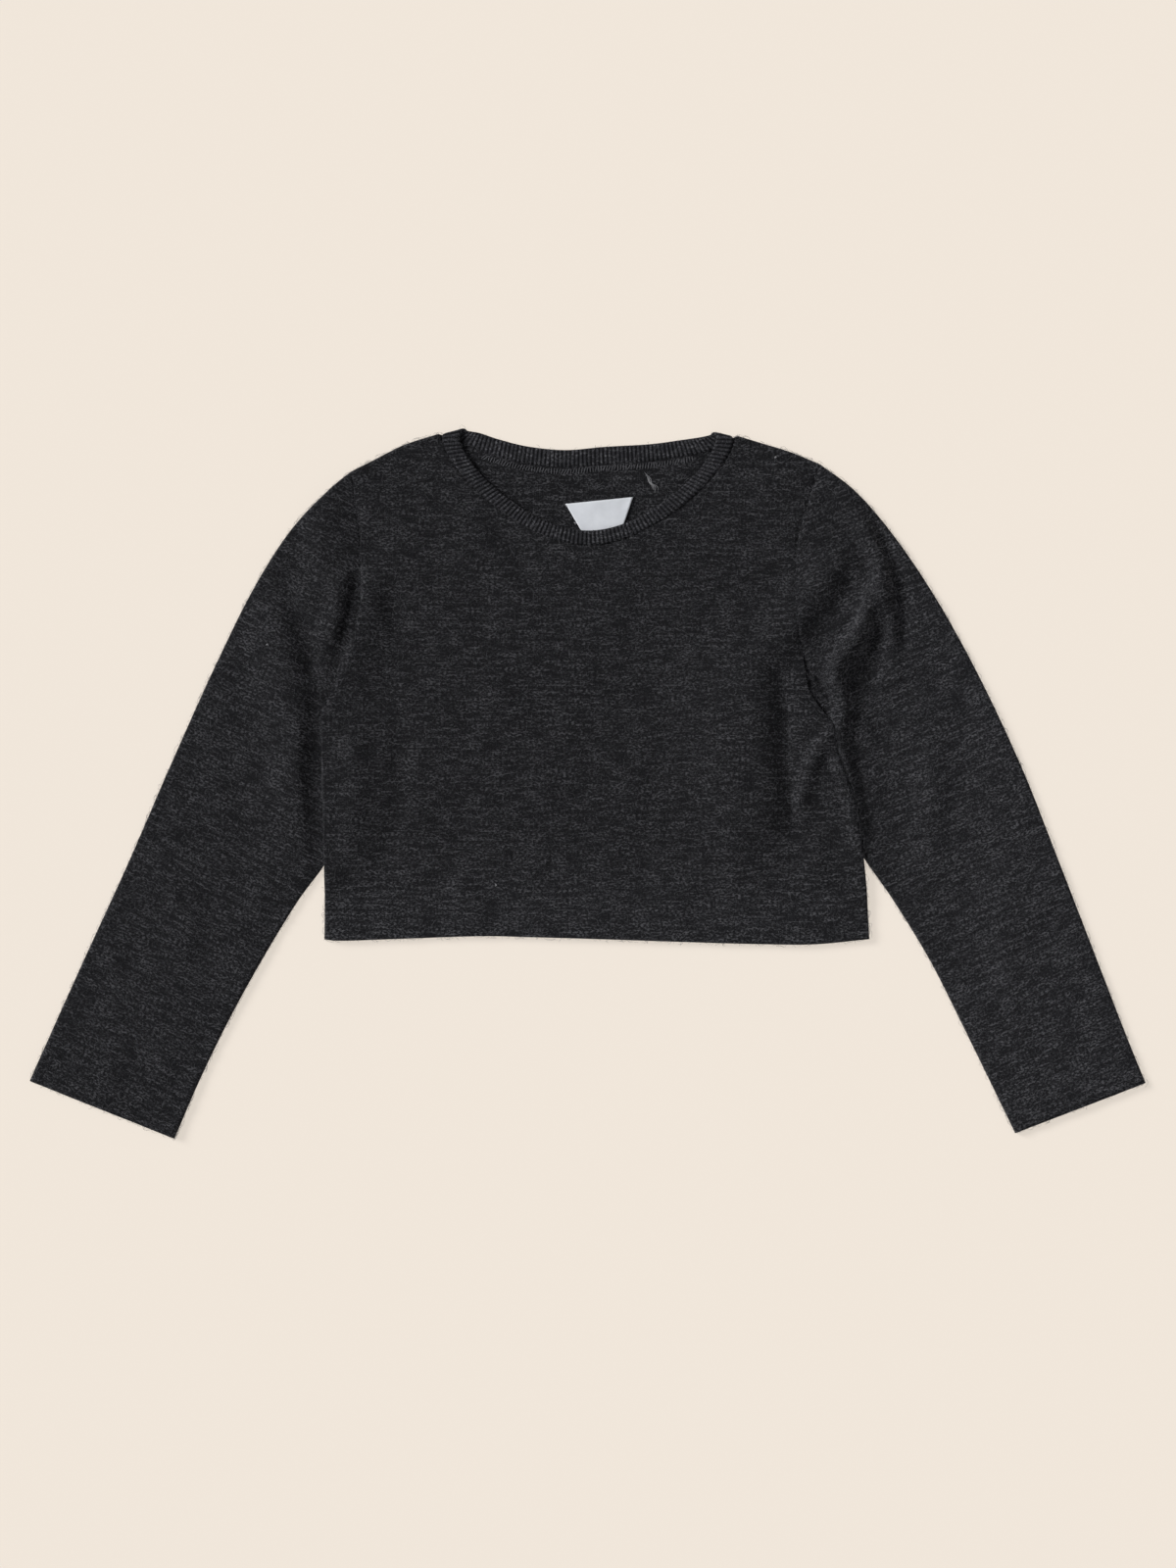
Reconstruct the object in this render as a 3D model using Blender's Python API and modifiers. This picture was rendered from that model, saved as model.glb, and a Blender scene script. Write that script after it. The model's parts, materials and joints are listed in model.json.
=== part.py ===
"""A child's crew-neck sweater in fine charcoal wool jersey, laid flat on its back.

X runs across the garment, Y towards its neck and Z up from the surface that it lies on.
The origin is in the middle of the garment, on that surface. The tables are in millimetres
and the meshes in metres. Left and right are those of the picture, seen from above.
"""

from collections import namedtuple

import bmesh
import bpy
import numpy as np

MM = 0.001

# Cloth and layers (mm)
KNIT = 1.1  # wall of the jersey
HEM_WALL = 1.7  # two pressed layers of jersey in the turned-up hems
RIB_WALL = 1.4  # wall of the neckband under its ribs
SEAM_GAP = 0.3  # between two pieces that are sewn together
TOP = 3.8  # upper face of the front and of the sleeves where they lie slack
TUCK_TOP = 2.9  # upper face of a sleeve where the body lies on it
BACK_LIFT = 3.2  # how far the back panel rises over a tucked sleeve
FRONT_LIFT = 2.0  # how far the front panel rises with it
LIFT_RAMP = 21.0  # where the slope up to a tucked sleeve starts, from the sleeve's edge
LIFT_FULL = 4.0  # and where it ends
PRESSED = (-17, -6)  # a tucked sleeve is pressed flat between these, from the body's edge
STACK = 2.1  # walls in the thinnest stack of two layers, with a little air between them
BAND_TOP = 4.2  # rib valleys of the neckband's front half
BODY_HEM = 27.0  # depth of the body's turned-up hem
CUFF_HEM = 24.0  # depth of the cuffs' turned-up hems
HEM_STEP = 3.0  # width of the slope where a hem's inner edge shows through

# Ribs of the neckband
RIBS = 158
RIB_RISE = 0.35
NECK_GAPS = (0.7, 0.9)  # from the neckband's seam edge to the front and to the back
BACK_INSET = 0.5  # how far the back's edges stay inside the front's

Point = namedtuple("Point", "x y")

# How a folded edge turns down to its seam: inset from the edge when flat and when rolled,
# and the height there as a share of the way from the seam up to the face
RollStop = namedtuple("RollStop", "flat_inset rolled_inset rise")
ROLL = (
    RollStop(0.0, 0.0, 0.05),
    RollStop(0.7, 0.0, 0.50),
    RollStop(1.6, 0.7, 0.82),
    RollStop(3.0, 2.6, 1.00),
)
SIDE_ROLL_FADE = (-16, 2)  # where a side's fold opens out, from the armpit up
TOP_ROLL_FADE = (-2.4, 0.4)  # where the shoulder's fold starts, from the neckband's seam out

# Outlines of the body, from left to right and from the hem up
HEM_EDGE = [
    Point(-161.5, -95.2), Point(-150, -96.0), Point(-114, -94.8), Point(-66, -93.2), Point(-36, -93.8),
    Point(0, -94.8), Point(54, -96.6), Point(102, -98.0), Point(138, -98.2), Point(172.4, -95.0),
]
SIDE_LEFT = [
    Point(-161.5, -95.2), Point(-160.6, -84), Point(-161.4, -60), Point(-162.2, -20), Point(-163.2, 20),
]
SIDE_RIGHT = [
    Point(172.4, -95.0), Point(171.6, -76), Point(168.8, -45), Point(165, -15), Point(159, 4),
    Point(152.8, 22),
]
SHOULDER_LEFT = [Point(-144.6, 191.4), Point(-132, 197.8), Point(-112, 207.8), Point(-91.2, 214.6)]
SHOULDER_RIGHT = [Point(141.6, 195.8), Point(124, 203.2), Point(106, 208.8), Point(91.0, 213.4)]

# Armholes, from the armpit up: where the end of the sleeve lies, and how far the front and
# the back lap over it. Below 0 they are sewn to it edge to edge.
ArmholeStop = namedtuple("ArmholeStop", "y sleeve_x front_lap back_lap")
ARMHOLE_LEFT = [
    ArmholeStop(45, -151.4, 11.4, 11.4),
    ArmholeStop(52, -150.2, 9.0, 9.0),
    ArmholeStop(60, -147.5, 7.4, 7.0),
    ArmholeStop(75, -143.0, 8.4, 2.6),
    ArmholeStop(84, -140.8, 6.4, -0.8),
    ArmholeStop(96, -139.4, 2.6, -0.8),
    ArmholeStop(108, -138.8, 0.8, -0.5),
    ArmholeStop(118, -138.8, -0.5, -0.5),
    ArmholeStop(135, -139.4, -0.5, -0.5),
    ArmholeStop(165, -141.2, -0.5, -0.5),
    ArmholeStop(191.4, -145.3, -0.7, -0.7),
]
ARMHOLE_RIGHT = [
    ArmholeStop(36, 141.2, 8.8, 8.8),
    ArmholeStop(42, 139.8, 6.0, 6.0),
    ArmholeStop(50, 137.2, 2.4, 1.4),
    ArmholeStop(58, 135.0, -0.4, -1.6),
    ArmholeStop(68, 133.0, -0.5, -0.8),
    ArmholeStop(90, 129.8, -0.5, -0.5),
    ArmholeStop(112, 127.2, -0.5, -0.5),
    ArmholeStop(132, 126.8, -0.5, -0.5),
    ArmholeStop(155, 129.8, -0.5, -0.5),
    ArmholeStop(195.8, 142.3, -0.7, -0.7),
]

# Neckline of the front: an ellipse pulled in at its shoulders, where it runs nearly straight
NECK_TOP_Y = 213.6
NECK_POWER = 1.25  # power on the depth
NECK_PULL = 0.2  # share by which the width is pulled in at the bottom
NECK_FREE = Point(79.0, 58.4)  # half width and depth of the neckband's free edge
NECK_SEAM = Point(89.6, 67.0)  # half width and depth of its seam
NECK_ARC = 40  # stops along it

# The neckband round the back of the neck, from right to left, where it lies wrong side up
BandStop = namedtuple("BandStop", "seam_x seam_y free_x free_y")
BAND_BACK = [
    BandStop(83.6, 209.8, 74.6, 213.9),
    BandStop(76.0, 204.4, 69.0, 212.6),
    BandStop(60.0, 201.2, 57.0, 210.8),
    BandStop(39.0, 197.9, 38.0, 208.3),
    BandStop(11.0, 196.2, 10.6, 206.7),
    BandStop(-14.0, 194.2, -14.0, 204.7),
    BandStop(-38.5, 196.4, -37.0, 206.9),
    BandStop(-57.0, 200.8, -54.5, 211.2),
    BandStop(-70.0, 205.6, -66.0, 215.0),
    BandStop(-83.0, 211.8, -73.4, 216.4),
]
BAND_FRONT_ENDS = (BandStop(-89.3, 213.4, -78.2, 215.6), BandStop(89.0, 211.9, 78.8, 213.6))
TURN_STOPS = 5  # stops round each of its folds at the shoulders

# Sleeves, from the shoulder down: the fold along the top of the arm and the fold along its
# underside, which starts beneath the body
ARM_FOLD_LEFT = [
    Point(-145.3, 191.4), Point(-159, 180), Point(-181.8, 156), Point(-204.8, 120), Point(-228.6, 72),
    Point(-255.6, 12), Point(-281.6, -48), Point(-309, -108), Point(-330.6, -156), Point(-342, -181.8),
]
UNDERARM_LEFT = [
    Point(-151.4, 45), Point(-151, 20), Point(-151.6, 0), Point(-153, -18), Point(-156.6, -37),
    Point(-161.8, -50), Point(-178.2, -72.5), Point(-199.8, -108), Point(-219.6, -144),
    Point(-237.2, -180), Point(-253.2, -217.2),
]
ARM_FOLD_RIGHT = [
    Point(142.3, 195.8), Point(163.2, 180), Point(184.4, 156), Point(209.4, 120), Point(236.6, 72),
    Point(265.0, 12), Point(288.8, -48), Point(312, -108), Point(330.6, -156), Point(341.6, -183),
]
UNDERARM_RIGHT = [
    Point(141.2, 36), Point(142.6, 28), Point(147.4, 12), Point(153.2, -8), Point(160, -29),
    Point(169.4, -46), Point(187.8, -72.5), Point(209.4, -108), Point(227.6, -144),
    Point(245.2, -180), Point(261.6, -213.8),
]
CAP_REACH = 0.34  # share of the arm's length over which its sections straighten
ARMPIT_PAUSE = 0.27  # share of the top fold that faces the armpit
ARMPIT_BLEND = 0.09

# Folds: a ridge (rise above 0) or a valley (below 0) along a path, with its half width on
# the left and on the right of the path's direction
Fold = namedtuple("Fold", "path rise left right")
FOLD_FADE = 0.3  # share of a fold's length over which each end fades out
FRONT_FOLDS = [
    Fold([Point(-134, 144), Point(-138, 110), Point(-145, 80), Point(-154, 48)], 2.8, 20, 6),
    Fold([Point(-119, 140), Point(-117, 104), Point(-118, 72), Point(-124, 44)], -0.9, 9, 10),
    Fold([Point(-142, 46), Point(-140, -2), Point(-146, -62)], 2.3, 24, 14),
    Fold([Point(-114, 42), Point(-113, 4), Point(-121, -36), Point(-137, -68)], -0.9, 9, 10),
    Fold([Point(164, 48), Point(152, 36), Point(141, 22), Point(134, 6), Point(131, -10), Point(134, -32)],
         3.6, 10, 7),
    Fold([Point(100, 116), Point(101, 66), Point(102, 24), Point(106, -16), Point(122, -46)], 5.0, 23, 58),
    Fold([Point(118, 92), Point(122, 46), Point(123, 6), Point(127, -22), Point(136, -44)], -1.0, 3, 12),
    Fold([Point(144, 22), Point(145, 6), Point(147, -12), Point(151, -34)], -1.4, 4, 4),
    Fold([Point(147, 32), Point(152, 14), Point(157, -2), Point(162, -22), Point(167, -60)], 2.3, 5, 6),
    Fold([Point(137, -22), Point(139, -44), Point(138, -68)], 1.6, 14, 16),
    Fold([Point(68, -24), Point(83, -31), Point(108, -44), Point(138, -53), Point(172, -66)], 2.3, 12, 4),
    Fold([Point(62, 8), Point(78, -3), Point(99, -20), Point(134, -31)], 1.5, 12, 4),
    Fold([Point(166, 154), Point(149, 131), Point(134, 110), Point(121, 88), Point(113, 66)], 4.0, 14, 26),
    Fold([Point(-60, 64), Point(0, 44), Point(62, 56)], -0.6, 16, 20),
    Fold([Point(-96, -22), Point(-30, -34), Point(40, -30)], 0.5, 14, 18),
]
SLEEVE_LEFT_FOLDS = [
    Fold([Point(-168, 198), Point(-163, 168), Point(-161, 136), Point(-163, 100)], 2.6, 22, 18),
    Fold([Point(-147, 136), Point(-149, 117), Point(-153, 97), Point(-160, 66)], 3.4, 6, 16),
    Fold([Point(-143, 138), Point(-144, 116), Point(-148, 94), Point(-155, 68)], -1.2, 5, 5),
    Fold([Point(-190, 138), Point(-180, 108), Point(-171, 84), Point(-166, 60)], -1.4, 8, 10),
    Fold([Point(-202, 122), Point(-188, 86), Point(-179, 42), Point(-178, -4), Point(-171, -64)],
         4.6, 17, 28),
    Fold([Point(-228, 30), Point(-212, -16), Point(-214, -70)], -0.8, 14, 14),
    Fold([Point(-262, -40), Point(-248, -88), Point(-262, -140)], 0.9, 18, 16),
    Fold([Point(-205, -96), Point(-238, -112), Point(-266, -108)], -0.7, 9, 12),
]
SLEEVE_RIGHT_FOLDS = [
    Fold([Point(144, 190), Point(165, 164), Point(177, 140), Point(183, 114), Point(186, 88), Point(189, 48)],
         3.8, 9, 10),
    Fold([Point(172, 164), Point(188, 134), Point(193, 104), Point(189, 66)], -1.2, 8, 6),
    Fold([Point(183, 142), Point(175, 118), Point(168, 99), Point(159, 84), Point(152, 70), Point(150, 52)],
         5.8, 16, 9),
    Fold([Point(172, 142), Point(157, 113), Point(144, 92), Point(134, 70)], -1.2, 8, 8),
    Fold([Point(179, 118), Point(176, 88), Point(173, 60), Point(177, 38), Point(186, 14)], -1.3, 8, 8),
    Fold([Point(146, 84), Point(151, 66), Point(156, 52), Point(157, 42), Point(150, 24)], 4.8, 11, 9),
    Fold([Point(172, 58), Point(198, 70), Point(226, 76)], 0.9, 7, 6),
    Fold([Point(176, 56), Point(196, 44), Point(224, 46)], 1.0, 7, 6),
    Fold([Point(170, 40), Point(190, 24), Point(218, 16)], -1.0, 8, 8),
    Fold([Point(156, 40), Point(160, 14), Point(165, -12), Point(173, -44)], 1.9, 15, 6),
    Fold([Point(206, 44), Point(211, 12), Point(212, -14), Point(208, -68)], 2.6, 24, 20),
    Fold([Point(166, 154), Point(149, 131), Point(134, 110), Point(121, 88), Point(113, 66)], 4.0, 14, 26),
    Fold([Point(238, 62), Point(222, 10), Point(226, -54)], -0.8, 14, 16),
    Fold([Point(262, -30), Point(252, -84), Point(272, -140)], 0.9, 18, 16),
    Fold([Point(206, -92), Point(236, -110), Point(270, -112)], -0.7, 12, 9),
]

# Label: a trapezium with its wide edge up
LABEL_WIDE = 41.6
LABEL_NARROW = 16.8
LABEL_HEIGHT = 27.0
LABEL_WALL = 1.0
LABEL_TOP_MIDDLE = Point(6.9, 173.7)
LABEL_TILT = 5.8  # degrees

# How finely the pieces are divided
FRONT_GRID = (34, 26)  # columns and rows
BACK_GRID = (24, 15)
SIDEWARD = 0.6  # how strongly the columns gather at the sides, from 0 to 1
HEM_ROWS = 3
SLEEVE_TOP_PANELS = 12
SLEEVE_UNDER_PANELS = 6
SLEEVE_END_STEPS = 4
SLEEVE_SECTIONS = 24

KNIT_COLOUR = (0.019, 0.019, 0.021, 1)
RIB_COLOUR = (0.016, 0.016, 0.018, 1)
LABEL_COLOUR = (0.72, 0.73, 0.74, 1)


def smooth_path(points, steps=12):
    """A smooth curve through points, as many closely spaced ones."""
    spots = np.array(points, float)
    padded = np.vstack([2 * spots[0] - spots[1], spots, 2 * spots[-1] - spots[-2]])
    t = np.linspace(0, 1, steps, endpoint=False)[:, None]
    spans = []
    for a, b, c, d in zip(padded, padded[1:], padded[2:], padded[3:]):
        bend = 2 * a - 5 * b + 4 * c - d
        twist = 3 * b - a - 3 * c + d
        spans.append(b + 0.5 * ((c - a) * t + bend * t**2 + twist * t**3))
    return np.vstack(spans + [spots[-1:]])


def along(path, shares):
    """The points of a path at some shares of its length."""
    steps = np.linalg.norm(np.diff(path, axis=0), axis=1)
    reach = np.concatenate([[0], np.cumsum(steps)])
    wanted = np.asarray(shares) * reach[-1]
    return np.stack([np.interp(wanted, reach, path[:, k]) for k in range(path.shape[1])], axis=-1)


def shifted(path, distance):
    """A path moved sideways, to its right."""
    run = np.gradient(path, axis=0)
    run /= np.linalg.norm(run, axis=1)[:, None]
    return path + distance * np.column_stack([run[:, 1], -run[:, 0]])


def smooth_step(low, high, value):
    """0 below low, 1 above high and a smooth rise between them."""
    share = np.clip((value - low) / (high - low), 0, 1)
    return share * share * (3 - 2 * share)


def beside(path, x, y):
    """Distance from a path, above 0 on its right, and the share of the path passed."""
    nearest = np.full(np.shape(x), np.inf)
    passed = np.zeros(np.shape(x))
    for index, (start, end) in enumerate(zip(path, path[1:])):
        run = end - start
        share = np.clip(((x - start[0]) * run[0] + (y - start[1]) * run[1]) / (run @ run), 0, 1)
        off_x = x - start[0] - share * run[0]
        off_y = y - start[1] - share * run[1]
        gap = np.hypot(off_x, off_y)
        closer = gap < np.abs(nearest)
        turn = np.where(run[1] * off_x - run[0] * off_y >= 0, 1, -1)
        nearest = np.where(closer, turn * gap, nearest)
        passed = np.where(closer, (index + share) / (len(path) - 1), passed)
    return nearest, passed


def fold_height(folds, x, y):
    """Height that the folds add at points of a face."""
    height = np.zeros(np.shape(x))
    for fold in folds:
        off, passed = beside(smooth_path(fold.path, 5), x, y)
        width = np.where(off > 0, fold.right, fold.left)
        across = 0.5 + 0.5 * np.cos(np.pi * np.clip(np.abs(off) / width, 0, 1))
        ends = smooth_step(0, FOLD_FADE, passed) * smooth_step(0, FOLD_FADE, 1 - passed)
        height = height + fold.rise * across * ends
    return height


# What each side of the body and its sleeve share. turn is -1 on the left and 1 on the
# right, and the clear heights are where the panels come off the tucked sleeve.
Side = namedtuple("Side", "turn edge armhole underarm arm_fold folds front_clear back_clear")
LEFT = Side(
    turn=-1, edge=SIDE_LEFT, armhole=ARMHOLE_LEFT, underarm=UNDERARM_LEFT, arm_fold=ARM_FOLD_LEFT,
    folds=SLEEVE_LEFT_FOLDS, front_clear=(112, 130), back_clear=(86, 106))
RIGHT = Side(
    turn=1, edge=SIDE_RIGHT, armhole=ARMHOLE_RIGHT, underarm=UNDERARM_RIGHT, arm_fold=ARM_FOLD_RIGHT,
    folds=SLEEVE_RIGHT_FOLDS, front_clear=(64, 84), back_clear=(62, 80))


def sleeve_end(side):
    """Where the sleeve's end lies, from the armpit up."""
    return smooth_path([(stop.sleeve_x, stop.y) for stop in side.armhole])


def sleeve_inner_edge(side):
    """The sleeve's edge that faces the body, from the cuff up to the shoulder."""
    return np.vstack([smooth_path(side.underarm, 6)[::-1], sleeve_end(side)[1:]])


def body_edge(side, panel):
    """The side edge and the armhole of a panel, from the hem up."""
    edge = list(side.edge)
    for stop in side.armhole:
        lap = stop.front_lap if panel == "front" else stop.back_lap
        edge.append(Point(stop.sleeve_x + side.turn * lap, stop.y))
    return smooth_path(edge)


def lifted(panel, x, y):
    """How far, from 0 to 1, a panel has risen over a sleeve that is tucked under it."""
    share = np.zeros(np.shape(x))
    for side in (LEFT, RIGHT):
        off, _ = beside(sleeve_inner_edge(side), x, y)
        clear = side.front_clear if panel == "front" else side.back_clear
        rise = smooth_step(-LIFT_RAMP, -LIFT_FULL, side.turn * off) * (1 - smooth_step(*clear, y))
        share = np.maximum(share, rise)
    return share


def hem_share(depth, inner):
    """1 inside a turned-up hem and 0 beyond its inner edge."""
    return 1 - smooth_step(inner - HEM_STEP / 2, inner + HEM_STEP / 2, depth)


def wall_of(hems):
    """The cloth's wall, by share of a hem."""
    return KNIT + (HEM_WALL - KNIT) * hems


def back_low(x, y):
    return BACK_LIFT * lifted("back", x, y)


def front_high(x, y, hem):
    """Upper face of the front panel, always clear of the back panel."""
    high = TOP - KNIT + wall_of(hem) + FRONT_LIFT * lifted("front", x, y)
    high = high + fold_height(FRONT_FOLDS, x, y)
    gap = 2 * SEAM_GAP * (1 - lifted("back", x, y) / 2)
    return np.maximum(high, back_low(x, y) + STACK * wall_of(hem) + gap)


def path_length(path):
    return np.sum(np.linalg.norm(np.diff(path, axis=0), axis=1))


def top_row(pieces, u):
    """Points along both shoulders and the neckline, with one of them at each corner."""
    lengths = np.array([path_length(piece) for piece in pieces])
    corners = np.cumsum(lengths)[:2] / np.sum(lengths)
    columns = [u[np.argmin(np.abs(u - corner))] for corner in corners]
    shares = np.interp(u, [0, *columns, 1], [0, *corners, 1])
    return along(np.vstack([pieces[0][:-1], pieces[1], pieces[2][1:]]), shares)


def panel_points(panel, top_edge, columns, rows):
    """A panel's points in plan, in rows from the hem up, and each row's share of the hem."""
    inset = BACK_INSET if panel == "back" else 0
    sides = [body_edge(side, panel) - (side.turn * inset, 0) for side in (LEFT, RIGHT)]
    width = SIDE_RIGHT[0].x - SIDE_LEFT[0].x
    insets = np.array([stop.flat_inset for stop in ROLL]) / width
    even = np.linspace(0, 1, columns + 1)
    middle = (1 - SIDEWARD) * even + SIDEWARD * (0.5 - 0.5 * np.cos(np.pi * even))
    inner = insets[-1] + (1 - 2 * insets[-1]) * middle
    u = np.concatenate([insets[:-1], inner, 1 - insets[:-1][::-1]])

    hem_top = BODY_HEM + HEM_STEP / 2
    hem_line = along(smooth_path(HEM_EDGE), u)
    heights = np.concatenate([np.linspace(0, BODY_HEM - HEM_STEP / 2, HEM_ROWS + 1), [hem_top]])
    side_rows = []
    leans = []
    for edge in sides:
        start_y = edge[0, 1] + hem_top
        start_x = np.interp(start_y, edge[:40, 1], edge[:40, 0])
        side_rows.append(np.vstack([[(start_x, start_y)], edge[edge[:, 1] >= start_y]]))
        leans.append(start_x - edge[0, 0])
    lean = leans[0] * (1 - u) + leans[1] * u
    grid = [hem_line + np.column_stack([lean * height / hem_top, 0 * u + height]) for height in heights]
    base = grid[-1]

    roof = top_row(top_edge, u)
    tall = NECK_TOP_Y - HEM_EDGE[0].y - hem_top
    top_insets = np.array([stop.flat_inset for stop in ROLL]) / tall
    v = np.concatenate([np.linspace(0, 1 - top_insets[-1], rows + 1)[1:], 1 - top_insets[:-1][::-1]])
    left, right = (along(row, v) for row in side_rows)
    for share, at_left, at_right in zip(v, left, right):
        ruled = (1 - share) * base + share * roof
        pull_left = np.outer(1 - u, at_left - ruled[0])
        pull_right = np.outer(u, at_right - ruled[-1])
        grid.append(ruled + pull_left + pull_right)
    return np.array(grid), hem_share(np.concatenate([heights, hem_top + v * tall]), BODY_HEM)


def turn_edges(points, face, seam, side_roll, top_roll):
    """Turn a panel's side edges and its top edge down to their seams."""
    high = face.copy()
    flat = points.copy()
    last = len(ROLL) - 1
    for k, stop in enumerate(ROLL[:last]):
        for column, edge, inward in ((k, 0, last), (-1 - k, -1, -1 - last)):
            reach = flat[:, inward] - flat[:, edge]
            reach = reach / np.linalg.norm(reach, axis=1)[:, None]
            rolled = flat[:, edge] + reach * stop.rolled_inset
            points[:, column] += side_roll[:, None] * (rolled - points[:, column])
            drop = (1 - stop.rise) * (face[:, column] - seam[:, column])
            high[:, column] -= side_roll * drop
    for k, stop in enumerate(ROLL[:last]):
        reach = flat[-1 - last] - flat[-1]
        reach = reach / np.linalg.norm(reach, axis=1)[:, None]
        rolled = flat[-1] + reach * stop.rolled_inset
        points[-1 - k] += top_roll[:, None] * (rolled - points[-1 - k])
        drop = (1 - stop.rise) * (face[-1 - k] - seam[-1 - k])
        high[-1 - k] -= top_roll * drop
    return points, high


def neck_curve(reach, grow=0.0):
    """A neckline from the left shoulder round to the right one."""
    turn = np.linspace(0, np.pi, NECK_ARC + 1)
    half = reach.x + grow
    x = -half * np.cos(turn) * (1 - NECK_PULL * np.sin(turn) ** 2)
    y = NECK_TOP_Y - (reach.y + grow) * np.abs(np.sin(turn)) ** NECK_POWER
    return np.stack([x, y], axis=-1)


def material(name, colour, roughness):
    made = bpy.data.materials.new(name)
    made.use_nodes = True
    shader = made.node_tree.nodes["Principled BSDF"]
    shader.inputs["Base Color"].default_value = colour
    shader.inputs["Roughness"].default_value = roughness
    shader.inputs["Metallic"].default_value = 0.0
    return made


def grid_object(name, points, look, close_rows=False, close_columns=False):
    """An object from a grid of points (rows, columns, 3), closed round either way if asked."""
    if close_rows:
        points = np.concatenate([points, points[:1]])
    if close_columns:
        points = np.concatenate([points, points[:, :1]], axis=1)
    row_count, column_count = points.shape[:2]
    mesh = bpy.data.meshes.new(name)
    shape = bmesh.new()
    bmesh.ops.create_grid(shape, x_segments=column_count - 1, y_segments=row_count - 1, size=1)
    shape.verts.ensure_lookup_table()
    for vertex, place in zip(shape.verts, points.reshape(-1, 3)):
        vertex.co = place * MM
    if close_rows or close_columns:
        bmesh.ops.remove_doubles(shape, verts=shape.verts, dist=0.00001)
    shape.to_mesh(mesh)
    shape.free()
    mesh.shade_smooth()
    mesh.materials.append(look)
    made = bpy.data.objects.new(name, mesh)
    garment.objects.link(made)
    return made


def give_wall(made, walls):
    """Thicken a face into a wall on its inner side, of a given size at each point."""
    thickest = max(walls)
    group = made.vertex_groups.new(name="wall")
    for index, wall in enumerate(walls):
        group.add([index], float(wall / thickest), "REPLACE")
    thicken = made.modifiers.new("wall", "SOLIDIFY")
    thicken.thickness = thickest * MM
    thicken.offset = -1
    thicken.vertex_group = "wall"


def side_roll_of(points):
    """1 along a folded side seam, fading to 0 where the armhole starts."""
    return 1 - smooth_step(*SIDE_ROLL_FADE, points[:, 0, 1] - ARMHOLE_RIGHT[0].y)


def top_roll_of(points):
    """1 along a folded shoulder, fading to 0 where the neckline starts."""
    return smooth_step(*TOP_ROLL_FADE, np.abs(points[-1, :, 0]) - NECK_SEAM.x)


def build_front():
    neck = neck_curve(NECK_SEAM, NECK_GAPS[0])
    neck = np.vstack([SHOULDER_LEFT[-1], neck[1:-1], SHOULDER_RIGHT[-1]])
    top_edge = [smooth_path(SHOULDER_LEFT), neck, smooth_path(SHOULDER_RIGHT)[::-1]]
    points, hems = panel_points("front", top_edge, *FRONT_GRID)
    x, y = points[..., 0], points[..., 1]
    face = front_high(x, y, hems[:, None])
    seam = back_low(x, y) + wall_of(hems[:, None]) + SEAM_GAP
    points, high = turn_edges(points, face, seam, side_roll_of(points), top_roll_of(points))
    made = grid_object("front", np.dstack([points, high]), knit)
    give_wall(made, np.repeat(wall_of(hems), points.shape[1]))


def build_back():
    band_seam = smooth_path([(stop.seam_x, stop.seam_y) for stop in BAND_BACK[::-1]], 4)
    neck = shifted(band_seam, NECK_GAPS[1])
    neck = np.vstack([SHOULDER_LEFT[-1], neck[1:-1], SHOULDER_RIGHT[-1]])
    top_edge = [smooth_path(SHOULDER_LEFT), neck, smooth_path(SHOULDER_RIGHT)[::-1]]
    top_edge = [edge - (0, BACK_INSET) for edge in top_edge]
    points, hems = panel_points("back", top_edge, *BACK_GRID)
    low = back_low(points[..., 0], points[..., 1])
    made = grid_object("back", np.dstack([points, low])[:, ::-1], knit)
    give_wall(made, np.repeat(wall_of(hems), points.shape[1]))


def arm_sections(side):
    """Shares of the arm's length where its sections lie, with the cuff's hem marked."""
    length = path_length(smooth_path(side.arm_fold))
    hem_in = 1 - (CUFF_HEM + HEM_STEP / 2) / length
    hem_out = 1 - (CUFF_HEM - HEM_STEP / 2) / length
    shares = np.concatenate([np.linspace(0, hem_in, SLEEVE_SECTIONS), np.linspace(hem_out, 1, 3)])
    return shares, hem_share((1 - shares) * length, CUFF_HEM)


def under_share(shares):
    """Share of the underarm fold that faces a share of the top fold: it waits at the armpit."""
    def waited(share):
        return np.sqrt((share - ARMPIT_PAUSE) ** 2 + ARMPIT_BLEND**2) + share - ARMPIT_PAUSE
    return (waited(shares) - waited(0.0)) / (waited(1.0) - waited(0.0))


def sleeve_plan(side, shares):
    """A function that gives the places of a sleeve's sections, by share along and across."""
    top_fold = along(smooth_path(side.arm_fold), shares)
    under_fold = along(smooth_path(side.underarm), under_share(shares))
    end = sleeve_end(side)[::-1]
    straight = (1 - np.clip(shares / CAP_REACH, 0, 1)) ** 2

    def place(row, across):
        across = np.asarray(across)[:, None]
        ruled = top_fold[row] * (1 - across) + under_fold[row] * across
        chord = end[0] * (1 - across) + end[-1] * across
        return ruled + (along(end, across[:, 0]) - chord) * straight[row]

    return place, np.linalg.norm(under_fold - top_fold, axis=1)


def sleeve_high(side, x, y, hem):
    """Upper face of a sleeve, pressed down where the body lies on it."""
    off, _ = beside(body_edge(side, "front"), x, y)
    covered = smooth_step(*PRESSED, -side.turn * off) * (1 - smooth_step(*side.front_clear, y))
    slack = TOP - KNIT + wall_of(hem) + fold_height(side.folds, x, y)
    slack = np.maximum(slack, STACK * wall_of(hem) + SEAM_GAP)
    return TUCK_TOP * covered + slack * (1 - covered)


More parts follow.
